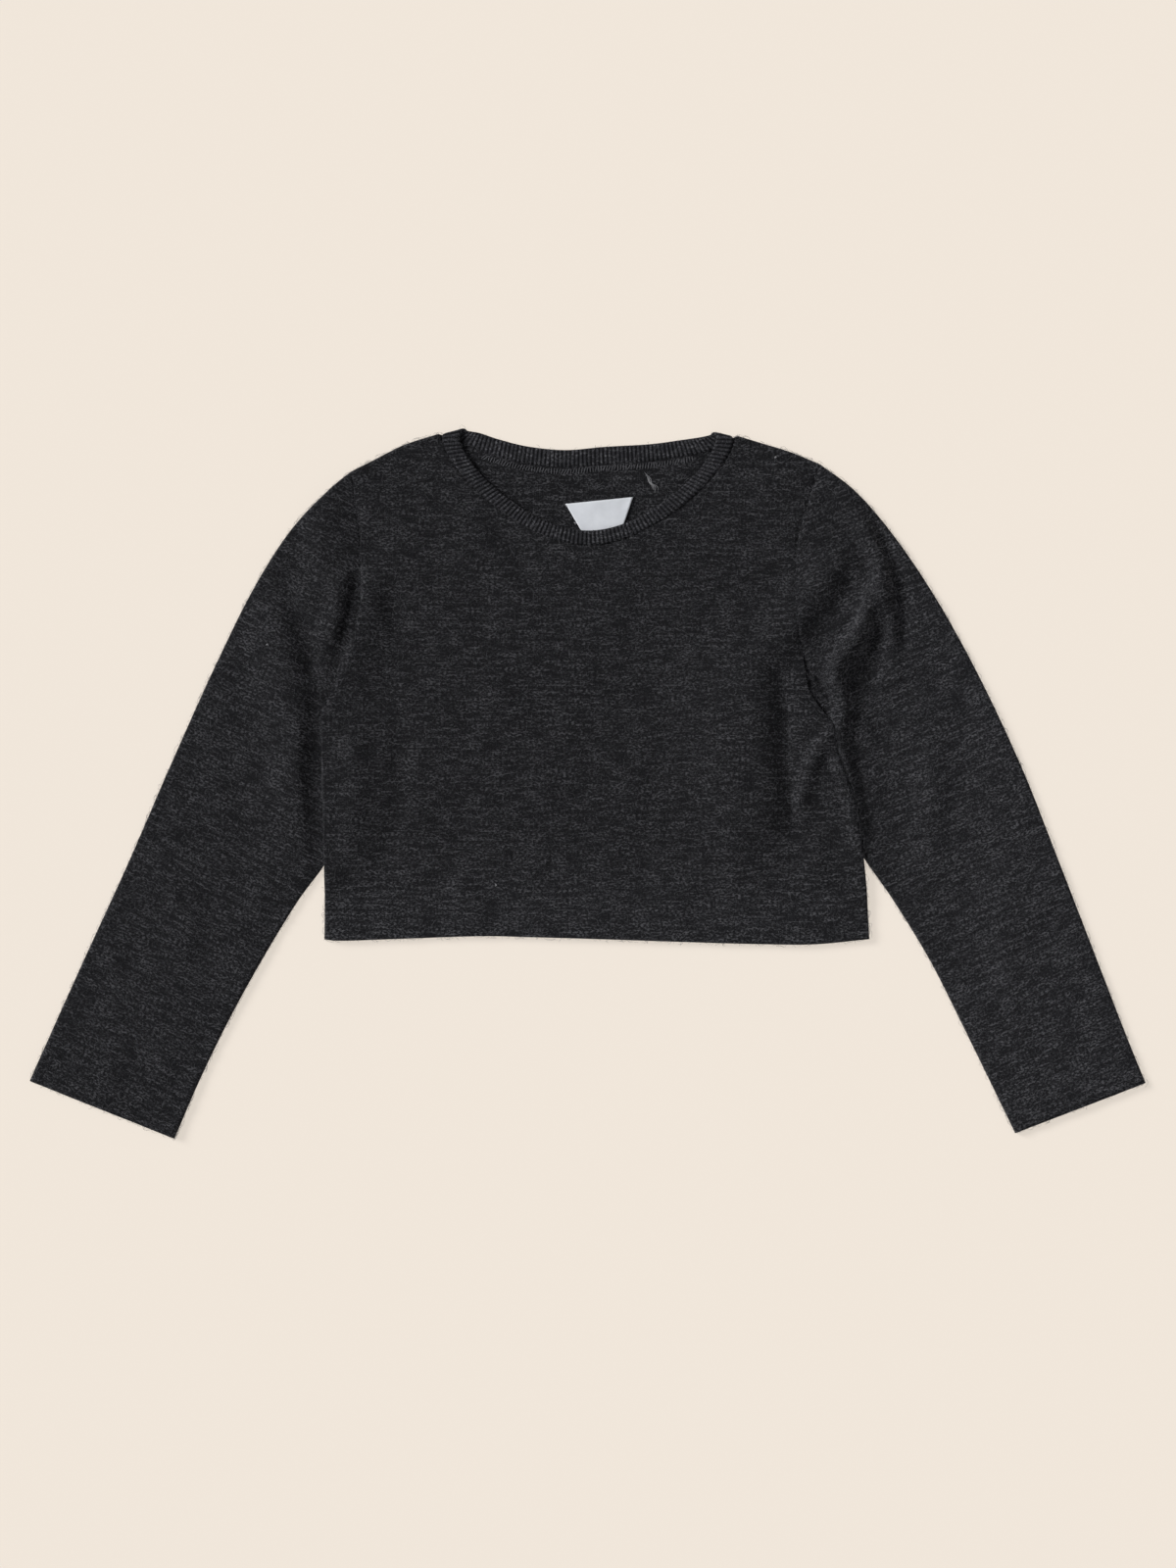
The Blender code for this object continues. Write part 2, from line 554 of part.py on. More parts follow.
def build_sleeve(name, side):
    shares, hems = arm_sections(side)
    place, widths = sleeve_plan(side, shares)
    turns = np.linspace(0.5 * np.pi, -0.5 * np.pi, SLEEVE_END_STEPS + 1)[1:-1]
    rows = []
    for row, (width, hem) in enumerate(zip(widths, hems)):
        ends = place(row, [0.0, 1.0])
        radius = sleeve_high(side, ends[:, 0], ends[:, 1], hem) / 2
        reach = radius / width
        flat = np.linspace(reach[0], 1 - reach[1], SLEEVE_TOP_PANELS + 1)
        upper = place(row, flat)
        high = sleeve_high(side, upper[:, 0], upper[:, 1], hem)
        fade = np.minimum(1, np.minimum(flat / reach[0], (1 - flat) / reach[1]) - 1)
        rim = np.interp(flat, [0, 1], 2 * radius)
        high = rim + (high - rim) * np.clip(fade, 0, 1)
        under = place(row, np.linspace(1 - reach[1], reach[0], SLEEVE_UNDER_PANELS + 1))
        inner = place(row, 1 - reach[1] + reach[1] * np.cos(turns))
        outer = place(row, reach[0] - reach[0] * np.cos(turns[::-1]))
        loop = [
            np.column_stack([upper, high]),
            np.column_stack([inner, radius[1] * (1 + np.sin(turns))]),
            np.column_stack([under, np.zeros(len(under))]),
            np.column_stack([outer, radius[0] * (1 + np.sin(turns[::-1]))]),
        ]
        rows.append(np.vstack(loop))
    points = np.array(rows)
    if side is LEFT:
        points = points[:, ::-1]
    made = grid_object(name, points, knit, close_columns=True)
    give_wall(made, np.repeat(wall_of(hems), points.shape[1]))


def band_route():
    """The neckband's seam edge and free edge on its right side, right round the neck."""
    ends = np.array(BAND_FRONT_ENDS)
    back = np.array(BAND_BACK)
    fronts = []
    backs = []
    for column, reach in ((0, NECK_SEAM), (2, NECK_FREE)):
        curve = neck_curve(reach)[2:-2]
        plan = np.vstack([ends[0, column:column + 2], curve, ends[1, column:column + 2]])
        fronts.append(np.column_stack([plan, np.full(len(plan), BAND_TOP)]))
        backs.append(np.column_stack([back[:, column:column + 2], np.zeros(len(back))]))
    first_turn = band_turn([edge[-1] for edge in fronts], [edge[0] for edge in backs])
    last_turn = band_turn([edge[-1] for edge in backs], [edge[0] for edge in fronts])
    return [np.vstack([fronts[k], first_turn[k], backs[k], last_turn[k]]) for k in (0, 1)]


def band_turn(first, last):
    """Both edges of the neckband where it folds round, from one half's end to the other's."""
    turn = np.linspace(0, np.pi, TURN_STOPS + 2)[1:-1, None]
    across = first[1] - first[0] + last[1] - last[0]
    outward = np.array([-across[1], across[0], 0]) * np.sign(across[0])
    outward = outward / np.linalg.norm(outward)
    edges = []
    for start, end in zip(first, last):
        mixed = start + (end - start) * turn / np.pi
        swing = (start + end) / 2 + (start - end) / 2 * np.cos(turn)
        mixed[:, 2] = swing[:, 2]
        edges.append(mixed + outward * (BAND_TOP / 2) * np.sin(turn))
    return edges


def build_neckband():
    seam, free = band_route()
    closed = [np.vstack([edge[-2:], edge, edge[:3]]) for edge in (seam, free)]
    fine = [smooth_path(edge, 10)[20:-20] for edge in closed]
    middle = (fine[0] + fine[1]) / 2
    steps = np.linalg.norm(np.diff(middle, axis=0), axis=1)
    reach = np.concatenate([[0], np.cumsum(steps)])
    wanted = np.linspace(0, reach[-1], 2 * RIBS + 1)[:-1]
    edges = []
    for edge in fine:
        edges.append(np.stack([np.interp(wanted, reach, edge[:, k]) for k in range(3)], axis=-1))
    seam, free = edges
    forward = np.roll(seam + free, -1, axis=0) - np.roll(seam + free, 1, axis=0)
    normal = np.cross(forward, free - seam)
    normal /= np.linalg.norm(normal, axis=1)[:, None]
    rib = RIB_RISE * (np.arange(len(wanted)) % 2)
    face_up = smooth_step(-0.5, 0.5, normal[:, 2])
    outer = (rib * face_up)[:, None] * normal
    inner = -(RIB_WALL + rib * (1 - face_up))[:, None] * normal
    ring = np.stack([free + outer, seam + outer, seam + inner, free + inner], axis=1)
    grid_object("neckband", ring, rib_knit, close_rows=True, close_columns=True)


def build_label():
    down = np.linspace(0, 1, 4)
    tilt = np.radians(LABEL_TILT)
    rows = []
    for share in down:
        half = (LABEL_WIDE + (LABEL_NARROW - LABEL_WIDE) * share) / 2
        out = np.linspace(-half, half, 7)
        fall = -LABEL_HEIGHT * share
        x = LABEL_TOP_MIDDLE.x + out * np.cos(tilt) - fall * np.sin(tilt)
        y = LABEL_TOP_MIDDLE.y + out * np.sin(tilt) + fall * np.cos(tilt)
        z = back_low(x, y) + KNIT + SEAM_GAP
        rows.append(np.column_stack([x, y, z]))
    made = grid_object("label", np.array(rows), satin)
    give_wall(made, [LABEL_WALL] * len(made.data.vertices))


for old in list(bpy.data.objects):
    bpy.data.objects.remove(old)
garment = bpy.data.collections.new("sweater")
bpy.context.scene.collection.children.link(garment)

knit = material("charcoal jersey", KNIT_COLOUR, 0.9)
rib_knit = material("charcoal rib", RIB_COLOUR, 0.9)
satin = material("woven label", LABEL_COLOUR, 0.6)

build_back()
build_front()
build_sleeve("sleeve_left", LEFT)
build_sleeve("sleeve_right", RIGHT)
build_neckband()
build_label()
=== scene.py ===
# %% [markdown]
# # A child's charcoal wool sweater, laid flat
#
# The real thing is a cropped crew-neck sweater, cut from a fine single jersey of melange wool
# and laid on its back. Its cloth is matt and nearly black, with paler fibres spun in, so it
# shows streaks along the knitted rows, a soft fuzz and hardly any shine.
#
# The imported model gives the solids. Each step below puts a thin, finely divided cloth over
# one of them, and then the things that only show close up: ribs, stitches, fluff and threads.

# %% The imported model and its bodies
import json
import math
from collections import namedtuple

import bmesh
import bpy
import numpy as np
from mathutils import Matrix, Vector

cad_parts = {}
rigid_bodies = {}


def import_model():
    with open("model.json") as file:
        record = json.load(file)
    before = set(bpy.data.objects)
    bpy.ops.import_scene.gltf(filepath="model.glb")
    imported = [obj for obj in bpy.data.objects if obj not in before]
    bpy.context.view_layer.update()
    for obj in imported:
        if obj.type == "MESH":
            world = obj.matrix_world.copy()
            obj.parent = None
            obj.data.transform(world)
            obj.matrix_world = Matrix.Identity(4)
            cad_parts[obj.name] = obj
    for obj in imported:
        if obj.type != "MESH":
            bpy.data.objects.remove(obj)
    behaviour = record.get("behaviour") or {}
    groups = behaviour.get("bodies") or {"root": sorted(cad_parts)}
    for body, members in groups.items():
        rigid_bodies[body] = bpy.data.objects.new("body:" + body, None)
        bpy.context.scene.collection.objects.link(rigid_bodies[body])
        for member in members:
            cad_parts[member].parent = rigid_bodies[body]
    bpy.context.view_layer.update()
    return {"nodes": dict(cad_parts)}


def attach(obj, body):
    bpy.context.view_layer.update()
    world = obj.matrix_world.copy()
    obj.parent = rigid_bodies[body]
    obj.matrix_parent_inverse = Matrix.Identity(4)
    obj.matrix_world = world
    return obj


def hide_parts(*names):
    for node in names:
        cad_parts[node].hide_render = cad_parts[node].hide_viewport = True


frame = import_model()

MM = 0.001
print("solids:", sorted(frame["nodes"]))

# %% [markdown]
# ## Small tools
#
# Three things are needed all the time. Curves that run smoothly through a few points could be
# Bezier objects, but a short function that returns numbers is easier to measure with. Smooth
# steps blend heights, and a distance to a path places folds and seams.

# %% Curves and steps
Point = namedtuple("Point", "x y")


def smooth_path(points, steps=12):
    """A smooth curve through points, as many closely spaced ones."""
    spots = np.array(points, float)
    padded = np.vstack([2 * spots[0] - spots[1], spots, 2 * spots[-1] - spots[-2]])
    t = np.linspace(0, 1, steps, endpoint=False)[:, None]
    spans = []
    for a, b, c, d in zip(padded, padded[1:], padded[2:], padded[3:]):
        bend = (c - a) * t + (2 * a - 5 * b + 4 * c - d) * t**2 + (3 * b - a - 3 * c + d) * t**3
        spans.append(b + 0.5 * bend)
    return np.vstack(spans + [spots[-1:]])


def path_length(path):
    return float(np.sum(np.linalg.norm(np.diff(path, axis=0), axis=1)))


def along(path, shares):
    """The points of a path at some shares of its length."""
    steps = np.linalg.norm(np.diff(path, axis=0), axis=1)
    reach = np.concatenate([[0], np.cumsum(steps)])
    wanted = np.asarray(shares) * reach[-1]
    return np.stack([np.interp(wanted, reach, path[:, k]) for k in range(path.shape[1])], axis=-1)


def shifted(path, distance):
    """A path moved sideways, to its right."""
    run = np.gradient(path, axis=0)
    run /= np.linalg.norm(run, axis=1)[:, None]
    return path + distance * np.column_stack([run[:, 1], -run[:, 0]])


def smooth_step(low, high, value):
    """0 below low, 1 above high and a smooth rise between them."""
    share = np.clip((value - low) / (high - low), 0, 1)
    return share * share * (3 - 2 * share)


def beside(path, x, y):
    """Distance from a path, above 0 on its right, and the share of the path passed."""
    nearest = np.full(np.shape(x), np.inf)
    passed = np.zeros(np.shape(x))
    for index, (start, end) in enumerate(zip(path, path[1:])):
        run = end - start
        share = np.clip(((x - start[0]) * run[0] + (y - start[1]) * run[1]) / (run @ run), 0, 1)
        off_x = x - start[0] - share * run[0]
        off_y = y - start[1] - share * run[1]
        gap = np.hypot(off_x, off_y)
        closer = gap < np.abs(nearest)
        turn = np.where(run[1] * off_x - run[0] * off_y >= 0, 1, -1)
        nearest = np.where(closer, turn * gap, nearest)
        passed = np.where(closer, (index + share) / (len(path) - 1), passed)
    return nearest, passed


def slack(x, y, wavelength, seed):
    """Uneven waves, about -1 to 1, of cloth that was smoothed by hand."""
    draw = np.random.default_rng(seed)
    total = np.zeros(np.shape(x))
    for _ in range(7):
        angle = draw.uniform(0, math.tau)
        length = wavelength * draw.uniform(0.7, 1.5)
        start = draw.uniform(0, math.tau)
        ahead = x * math.cos(angle) + y * math.sin(angle)
        total = total + np.sin(math.tau * ahead / length + start)
    return total / 3.5


bow = smooth_path([(0, 0), (10, 4), (20, 0)])
print("a bow through 3 points is", round(path_length(bow), 2), "mm long")

# %% [markdown]
# ## The cut and the layers
#
# These are the garment's own sizes, in millimetres: how thick the jersey is, how high each
# layer lies, and the outlines that the pieces were laid in. They repeat those of the solids,
# because the cloth has to lie exactly on them. Left and right are as seen from above.

# %% Layers
KNIT = 1.1  # wall of the jersey
HEM_WALL = 1.7  # wall of a turned-up hem
RIB_WALL = 1.4
SEAM_GAP = 0.3
SEWN_LAP = 0.15  # how far sewn edges press into each other, which closes the solids' gaps
TOP = 3.8  # height of two layers, laid flat
TUCK_TOP = 2.9  # height of a sleeve where the body presses on it
BACK_LIFT = 3.2  # how much the back rises over a sleeve
FRONT_LIFT = 2.0  # and how much more the front does
LIFT_RAMP = 21.0  # over this width
BAND_TOP = 4.2
BODY_HEM = 27.0
CUFF_HEM = 24.0
HEM_STEP = 3.0  # over which a hem's double wall ends
RIBS = 158
RIB_PITCH = 2.35
RIB_RISE = 0.5
print("the jersey is", KNIT, "mm thick and", RIBS, "ribs go round the neck")

# %% Outlines
HEM_EDGE = [
    Point(-161.5, -95.2), Point(-150, -96.0), Point(-114, -94.8), Point(-66, -93.2), Point(-36, -93.8),
    Point(0, -94.8), Point(54, -96.6), Point(102, -98.0), Point(138, -98.2), Point(172.4, -95.0),
]
SIDE_LEFT = [
    Point(-161.5, -95.2), Point(-160.6, -84), Point(-161.4, -60), Point(-162.2, -20), Point(-163.2, 20),
]
SIDE_RIGHT = [
    Point(172.4, -95.0), Point(171.6, -76), Point(168.8, -45), Point(165, -15), Point(159, 4),
    Point(152.8, 22),
]
SHOULDER_LEFT = [Point(-144.6, 191.4), Point(-132, 197.8), Point(-112, 207.8), Point(-91.2, 214.6)]
SHOULDER_RIGHT = [Point(141.6, 195.8), Point(124, 203.2), Point(106, 208.8), Point(91.0, 213.4)]

ArmholeStop = namedtuple("ArmholeStop", "y sleeve_x front_lap back_lap")
ARMHOLE_LEFT = [ArmholeStop(*row) for row in (
    (45, -151.4, 11.4, 11.4),
    (52, -150.2, 9.0, 9.0),
    (60, -147.5, 7.4, 7.0),
    (75, -143.0, 8.4, 2.6),
    (84, -140.8, 6.4, -0.8),
    (96, -139.4, 2.6, -0.8),
    (108, -138.8, 0.8, -0.5),
    (118, -138.8, -0.5, -0.5),
    (135, -139.4, -0.5, -0.5),
    (165, -141.2, -0.5, -0.5),
    (191.4, -145.3, -0.7, -0.7),
)]
ARMHOLE_RIGHT = [ArmholeStop(*row) for row in (
    (36, 141.2, 8.8, 8.8),
    (42, 139.8, 6.0, 6.0),
    (50, 137.2, 2.4, 1.4),
    (58, 135.0, -0.4, -1.6),
    (68, 133.0, -0.5, -0.8),
    (90, 129.8, -0.5, -0.5),
    (112, 127.2, -0.5, -0.5),
    (132, 126.8, -0.5, -0.5),
    (155, 129.8, -0.5, -0.5),
    (195.8, 142.3, -0.7, -0.7),
)]

ARM_FOLD_LEFT = [
    Point(-145.3, 191.4), Point(-159, 180), Point(-181.8, 156), Point(-204.8, 120), Point(-228.6, 72),
    Point(-255.6, 12), Point(-281.6, -48), Point(-309, -108), Point(-330.6, -156), Point(-342, -181.8),
]
UNDERARM_LEFT = [
    Point(-151.4, 45), Point(-151, 20), Point(-151.6, 0), Point(-153, -18), Point(-156.6, -37),
    Point(-161.8, -50), Point(-178.2, -72.5), Point(-199.8, -108), Point(-219.6, -144),
    Point(-237.2, -180), Point(-253.2, -217.2),
]
ARM_FOLD_RIGHT = [
    Point(142.3, 195.8), Point(163.2, 180), Point(184.4, 156), Point(209.4, 120), Point(236.6, 72),
    Point(265.0, 12), Point(288.8, -48), Point(312, -108), Point(330.6, -156), Point(341.6, -183),
]
UNDERARM_RIGHT = [
    Point(141.2, 36), Point(142.6, 28), Point(147.4, 12), Point(153.2, -8), Point(160, -29),
    Point(169.4, -46), Point(187.8, -72.5), Point(209.4, -108), Point(227.6, -144),
    Point(245.2, -180), Point(261.6, -213.8),
]
CAP_REACH = 0.34  # share of the sleeve that the curve of its cap reaches into
ARMPIT_PAUSE = 0.27  # share of the top fold at which the underarm fold sets off
ARMPIT_BLEND = 0.09
print("the hem is", round(path_length(smooth_path(HEM_EDGE))), "mm wide")

# %% Neckline and neckband
NECK_TOP_Y = 213.6
NECK_POWER = 1.25  # 1 would be half an ellipse, more makes it more pointed
NECK_PULL = 0.2  # how much narrower the scoop is at its foot
NECK_FREE = Point(79.0, 58.4)  # half width and depth to the band's free edge
NECK_SEAM = Point(89.6, 67.0)  # and to its seam
NECK_ARC = 40  # points on half a neckline

BandStop = namedtuple("BandStop", "seam_x seam_y free_x free_y")
BAND_FRONT_ENDS = (BandStop(-89.3, 213.4, -78.2, 215.6), BandStop(89.0, 211.9, 78.8, 213.6))
BAND_BACK = [BandStop(*row) for row in (
    (83.6, 209.8, 74.6, 213.9),
    (76.0, 204.4, 69.0, 212.6),
    (60.0, 201.2, 57.0, 210.8),
    (39.0, 197.9, 38.0, 208.3),
    (11.0, 196.2, 10.6, 206.7),
    (-14.0, 194.2, -14.0, 204.7),
    (-38.5, 196.4, -37.0, 206.9),
    (-57.0, 200.8, -54.5, 211.2),
    (-70.0, 205.6, -66.0, 215.0),
    (-83.0, 211.8, -73.4, 216.4),
)]
TURN_STOPS = 5  # points of the band's way round each shoulder
print("the neck opening is", 2 * NECK_FREE.x, "mm wide")

# %% [markdown]
# ## Folds
#
# Laid-out knitwear keeps a few soft folds, most of them at the armpits, where the sleeve is
# swung down and its cloth bunches. They could be sculpted or simulated, but each one here is a
# row of a table: a path over the cloth, how much it rises or sinks, and how far it spreads on
# either side. That way a fold can be moved by changing one number.

# %% Fold tables
Fold = namedtuple("Fold", "path rise left right")
FRONT_FOLDS = [
    Fold([(-134, 144), (-138, 110), (-145, 80), (-154, 48)], 2.8, 20, 6),
    Fold([(-119, 140), (-117, 104), (-118, 72), (-124, 44)], -0.9, 9, 10),
    Fold([(-142, 46), (-140, -2), (-146, -62)], 2.3, 24, 14),
    Fold([(-114, 42), (-113, 4), (-121, -36), (-137, -68)], -0.9, 9, 10),
    Fold([(164, 48), (152, 36), (141, 22), (134, 6), (131, -10), (134, -32)], 3.6, 10, 7),
    Fold([(100, 116), (101, 66), (102, 24), (106, -16), (122, -46)], 6.0, 24, 58),
    Fold([(118, 92), (122, 46), (123, 6), (127, -22), (136, -44)], -1.0, 3, 12),
    Fold([(144, 22), (145, 6), (147, -12), (151, -34)], -1.4, 4, 4),
    Fold([(149, 34), (153, 14), (158, -2), (163, -22), (168, -60)], 3.0, 5, 8),
    Fold([(137, -22), (139, -44), (138, -68)], 1.6, 14, 16),
    Fold([(68, -24), (83, -31), (108, -44), (138, -53), (172, -66)], 2.3, 12, 4),
    Fold([(62, 8), (78, -3), (99, -20), (134, -31)], 1.5, 12, 4),
    Fold([(166, 154), (149, 131), (134, 110), (121, 88), (113, 66)], 4.0, 14, 26),
    Fold([(129.4, 160), (128.4, 144)], -1.3, 1.6, 1.6),
    Fold([(-60, 64), (0, 44), (62, 56)], -0.6, 16, 20),
    Fold([(-96, -22), (-30, -34), (40, -30)], 0.5, 14, 18),
]
SLEEVE_LEFT_FOLDS = [
    Fold([(-168, 198), (-163, 168), (-161, 136), (-163, 100)], 2.6, 22, 18),
    Fold([(-147, 136), (-149, 117), (-153, 97), (-160, 66)], 3.4, 6, 16),
    Fold([(-143, 138), (-144, 116), (-148, 94), (-155, 68)], -1.2, 5, 5),
    Fold([(-190, 138), (-180, 108), (-171, 84), (-166, 60)], -1.4, 8, 10),
    Fold([(-202, 122), (-188, 86), (-179, 42), (-178, -4), (-171, -64)], 4.6, 17, 28),
    Fold([(-228, 30), (-212, -16), (-214, -70)], -0.8, 14, 14),
    Fold([(-262, -40), (-248, -88), (-262, -140)], 0.9, 18, 16),
    Fold([(-205, -96), (-238, -112), (-266, -108)], -0.7, 9, 12),
]
SLEEVE_RIGHT_FOLDS = [
    Fold([(144, 190), (165, 164), (177, 140), (183, 114), (186, 88), (189, 48)], 3.8, 9, 10),
    Fold([(172, 164), (188, 134), (193, 104), (189, 66)], -1.2, 8, 6),
    Fold([(183, 142), (175, 118), (168, 99), (159, 84), (152, 70), (150, 52)], 7.6, 15, 9),
    Fold([(172, 142), (157, 113), (144, 92), (134, 70)], -1.2, 8, 8),
    Fold([(179, 118), (176, 88), (173, 60), (177, 38), (186, 14)], -1.3, 8, 8),
    Fold([(146, 84), (151, 66), (156, 52), (157, 42), (150, 24)], 4.8, 11, 9),
    Fold([(138, 72), (144, 58), (152, 47)], -1.4, 3, 3),
    Fold([(172, 58), (198, 70), (226, 76)], 0.9, 7, 6),
    Fold([(176, 56), (196, 44), (224, 46)], 1.0, 7, 6),
    Fold([(170, 40), (190, 24), (218, 16)], -1.0, 8, 8),
    Fold([(149, 58), (153, 32), (157, 8), (162, -18), (169, -48)], 4.5, 11, 8),
    Fold([(206, 44), (211, 12), (212, -14), (208, -68)], 2.6, 24, 20),
    Fold([(166, 154), (149, 131), (134, 110), (121, 88), (113, 66)], 4.0, 14, 26),
    Fold([(238, 62), (222, 10), (226, -54)], -0.8, 14, 16),
    Fold([(262, -30), (252, -84), (272, -140)], 0.9, 18, 16),
    Fold([(206, -92), (236, -110), (270, -112)], -0.7, 12, 9),
]


def fold_height(folds, x, y):
    """Height that the folds add at points of a face."""
    height = np.zeros(np.shape(x))
    for fold in folds:
        off, passed = beside(smooth_path(fold.path, 8), x, y)
        width = np.where(off > 0, fold.right, fold.left)
        across = 0.5 + 0.5 * np.cos(np.pi * np.clip(np.abs(off) / width, 0, 1))
        ends = smooth_step(0, 0.3, passed) * smooth_step(0, 0.3, 1 - passed)
        height = height + fold.rise * across * ends
    return height


print(len(FRONT_FOLDS) + len(SLEEVE_LEFT_FOLDS) + len(SLEEVE_RIGHT_FOLDS), "folds in the tables")

# %% Where layers lie on each other
Side = namedtuple("Side", "turn edge armhole underarm arm_fold folds front_clear back_clear pressed")
LEFT = Side(-1, SIDE_LEFT, ARMHOLE_LEFT, UNDERARM_LEFT, ARM_FOLD_LEFT, SLEEVE_LEFT_FOLDS,
            front_clear=(112, 130), back_clear=(86, 106), pressed=(-15, -1.5))
RIGHT = Side(1, SIDE_RIGHT, ARMHOLE_RIGHT, UNDERARM_RIGHT, ARM_FOLD_RIGHT, SLEEVE_RIGHT_FOLDS,
             front_clear=(64, 84), back_clear=(62, 80), pressed=(-0.35, 0.65))


def sleeve_end(side):
    """Where the sleeve's end lies, from the armpit up."""
    return smooth_path([(stop.sleeve_x, stop.y) for stop in side.armhole])


def sleeve_inner_edge(side):
    """The sleeve's edge that faces the body, from the cuff up to the shoulder."""
    return np.vstack([smooth_path(side.underarm, 6)[::-1], sleeve_end(side)[1:]])


def body_edge(side, panel):
    """The side edge and the armhole of a panel, from the hem up."""
    edge = list(side.edge)
    for stop in side.armhole:
        lap = stop.front_lap if panel == "front" else stop.back_lap
        edge.append(Point(stop.sleeve_x + side.turn * max(lap, SEWN_LAP), stop.y))
    return smooth_path(edge)


def lifted(panel, x, y):
    """How far, from 0 to 1, a panel has risen over a sleeve that is tucked under it."""
    share = np.zeros(np.shape(x))
    for side in (LEFT, RIGHT):
        off, _ = beside(sleeve_inner_edge(side), x, y)
        clear = side.front_clear if panel == "front" else side.back_clear
        rise = smooth_step(-LIFT_RAMP, -4.0, side.turn * off) * (1 - smooth_step(*clear, y))
        share = np.maximum(share, rise)
    return share


def hem_share(depth, inner):
    """1 inside a turned-up hem and 0 beyond its inner edge."""
    return 1 - smooth_step(inner - HEM_STEP / 2, inner + HEM_STEP / 2, depth)


print("the front lies on the sleeves up to y =", LEFT.front_clear[1], "and", RIGHT.front_clear[1], "mm")

# %% [markdown]
# ## From a grid of points to cloth
#
# Each piece is one grid of points, laid between its edges as a tailor would chalk it: rows
# from hem to shoulder, or rings from armhole to cuff. A grid is the simplest mesh that can be
# bent anywhere, and it carries a map of the knit for free: every point knows how far along
# and across the cloth it is. Solidify then gives it the jersey's thickness.

# %% Making cloth
KNIT_MAP = "knit"
MAP_UNIT = 100.0  # mm of cloth to one unit of the map


def into_scene(made):
    bpy.context.scene.collection.objects.link(made)
    return made


def cloth_object(name, points, knit_uv, look, close_rows=False, close_columns=False):
    """An object from a grid of points (rows, columns, 3) and its map (rows, columns, 2)."""
    if close_rows:
        points = np.concatenate([points, points[:1]])
    if close_columns:
        points = np.concatenate([points, points[:, :1]], axis=1)
    row_count, column_count = points.shape[:2]
    mesh = bpy.data.meshes.new(name)
    shape = bmesh.new()
    bmesh.ops.create_grid(shape, x_segments=column_count - 1, y_segments=row_count - 1, size=1)
    shape.to_mesh(mesh)
    mesh.vertices.foreach_set("co", (points * MM).ravel())
    corners = np.zeros(len(mesh.loops), dtype=np.int32)
    mesh.loops.foreach_get("vertex_index", corners)
    spots = knit_uv.reshape(-1, 2) / MAP_UNIT
    mesh.uv_layers.new(name=KNIT_MAP).data.foreach_set("uv", spots[corners].ravel())
    mesh.shade_smooth()
    if close_rows or close_columns:
        shape.clear()
        shape.from_mesh(mesh)
        bmesh.ops.remove_doubles(shape, verts=shape.verts, dist=0.000002)
        shape.to_mesh(mesh)
    shape.free()
    mesh.materials.append(look)
    return into_scene(bpy.data.objects.new(name, mesh))


def give_wall(made, walls):
    """Thicken a face into a wall on its inner side, and keep the result as its mesh."""
    thickest = float(np.max(walls))
    group = made.vertex_groups.new(name="wall")
    steps = np.round(np.asarray(walls) / thickest, 2)
    for step in np.unique(steps):
        group.add(np.flatnonzero(steps == step).tolist(), float(step), "REPLACE")
    thicken = made.modifiers.new("wall", "SOLIDIFY")
    thicken.thickness = thickest * MM
    thicken.offset = -1
    thicken.vertex_group = "wall"
    settle(made)
    made.vertex_groups.clear()


def settle(made):
    """Turn an object and its modifiers into a plain mesh."""
    graph = bpy.context.evaluated_depsgraph_get()
    mesh = bpy.data.meshes.new_from_object(made.evaluated_get(graph))
    old = made.data
    made.modifiers.clear()
    made.data = mesh
    bpy.data.meshes.remove(old)


def report(made):
    made.data.calc_loop_triangles()
    size = [round(v * 1000, 1) for v in made.dimensions]
    print(f"{made.name}: {len(made.data.loop_triangles)} triangles, {size} mm")


print("one unit of the map has", round(MAP_UNIT / RIB_PITCH), "ribs")

# %% [markdown]
# ## Finishes
#
# The jersey is carded merino, knitted from yarn spun of black and grey fibres together. The
# eye sees a dark ground, short paler streaks along the rows where a grey stretch of yarn runs,
# and a haze of curled fibres. Photographs of cloth would tile and can't be lit freely, so the
# pattern is made of noises whose sizes are real ones, read from each piece's map of its knit.

# %% Adding nodes, and colours as seen on a screen
def add(tree, kind, inputs=None, **settings):
    """Add a node, with its settings and its inputs, which are values or sockets to link."""
    made = tree.nodes.new(kind)
    for key, value in settings.items():
        setattr(made, key, value)
    for key, value in (inputs or {}).items():
        if isinstance(value, bpy.types.NodeSocket):
            tree.links.new(value, made.inputs[key])
        else:
            made.inputs[key].default_value = value
    return made


def colour(code):
    """A screen's hex colour as the linear values that Blender mixes with."""
    linear = []
    for at in (0, 2, 4):
        share = int(code[at:at + 2], 16) / 255
        linear.append(share / 12.92 if share <= 0.04045 else ((share + 0.055) / 1.055) ** 2.4)
    return (*linear, 1.0)


print("a screen's middle grey is", round(colour("808080")[0], 3), "in linear light")

# %% Starting a material
def per_map(millimetres):
    """How often a pattern of that size repeats in one unit of the map."""
    return MAP_UNIT / millimetres


def started(name, roughness, shine):
    """A material with a plain shader to build on: its tree and that shader."""
    made = bpy.data.materials.new(name)
    made.use_nodes = True
    shader = made.node_tree.nodes["Principled BSDF"]
    shader.inputs["Roughness"].default_value = roughness
    shader.inputs["Specular IOR Level"].default_value = shine
    return made, made.node_tree, shader


print("a pattern of 2 mm repeats", per_map(2.0), "times in one unit of the map")

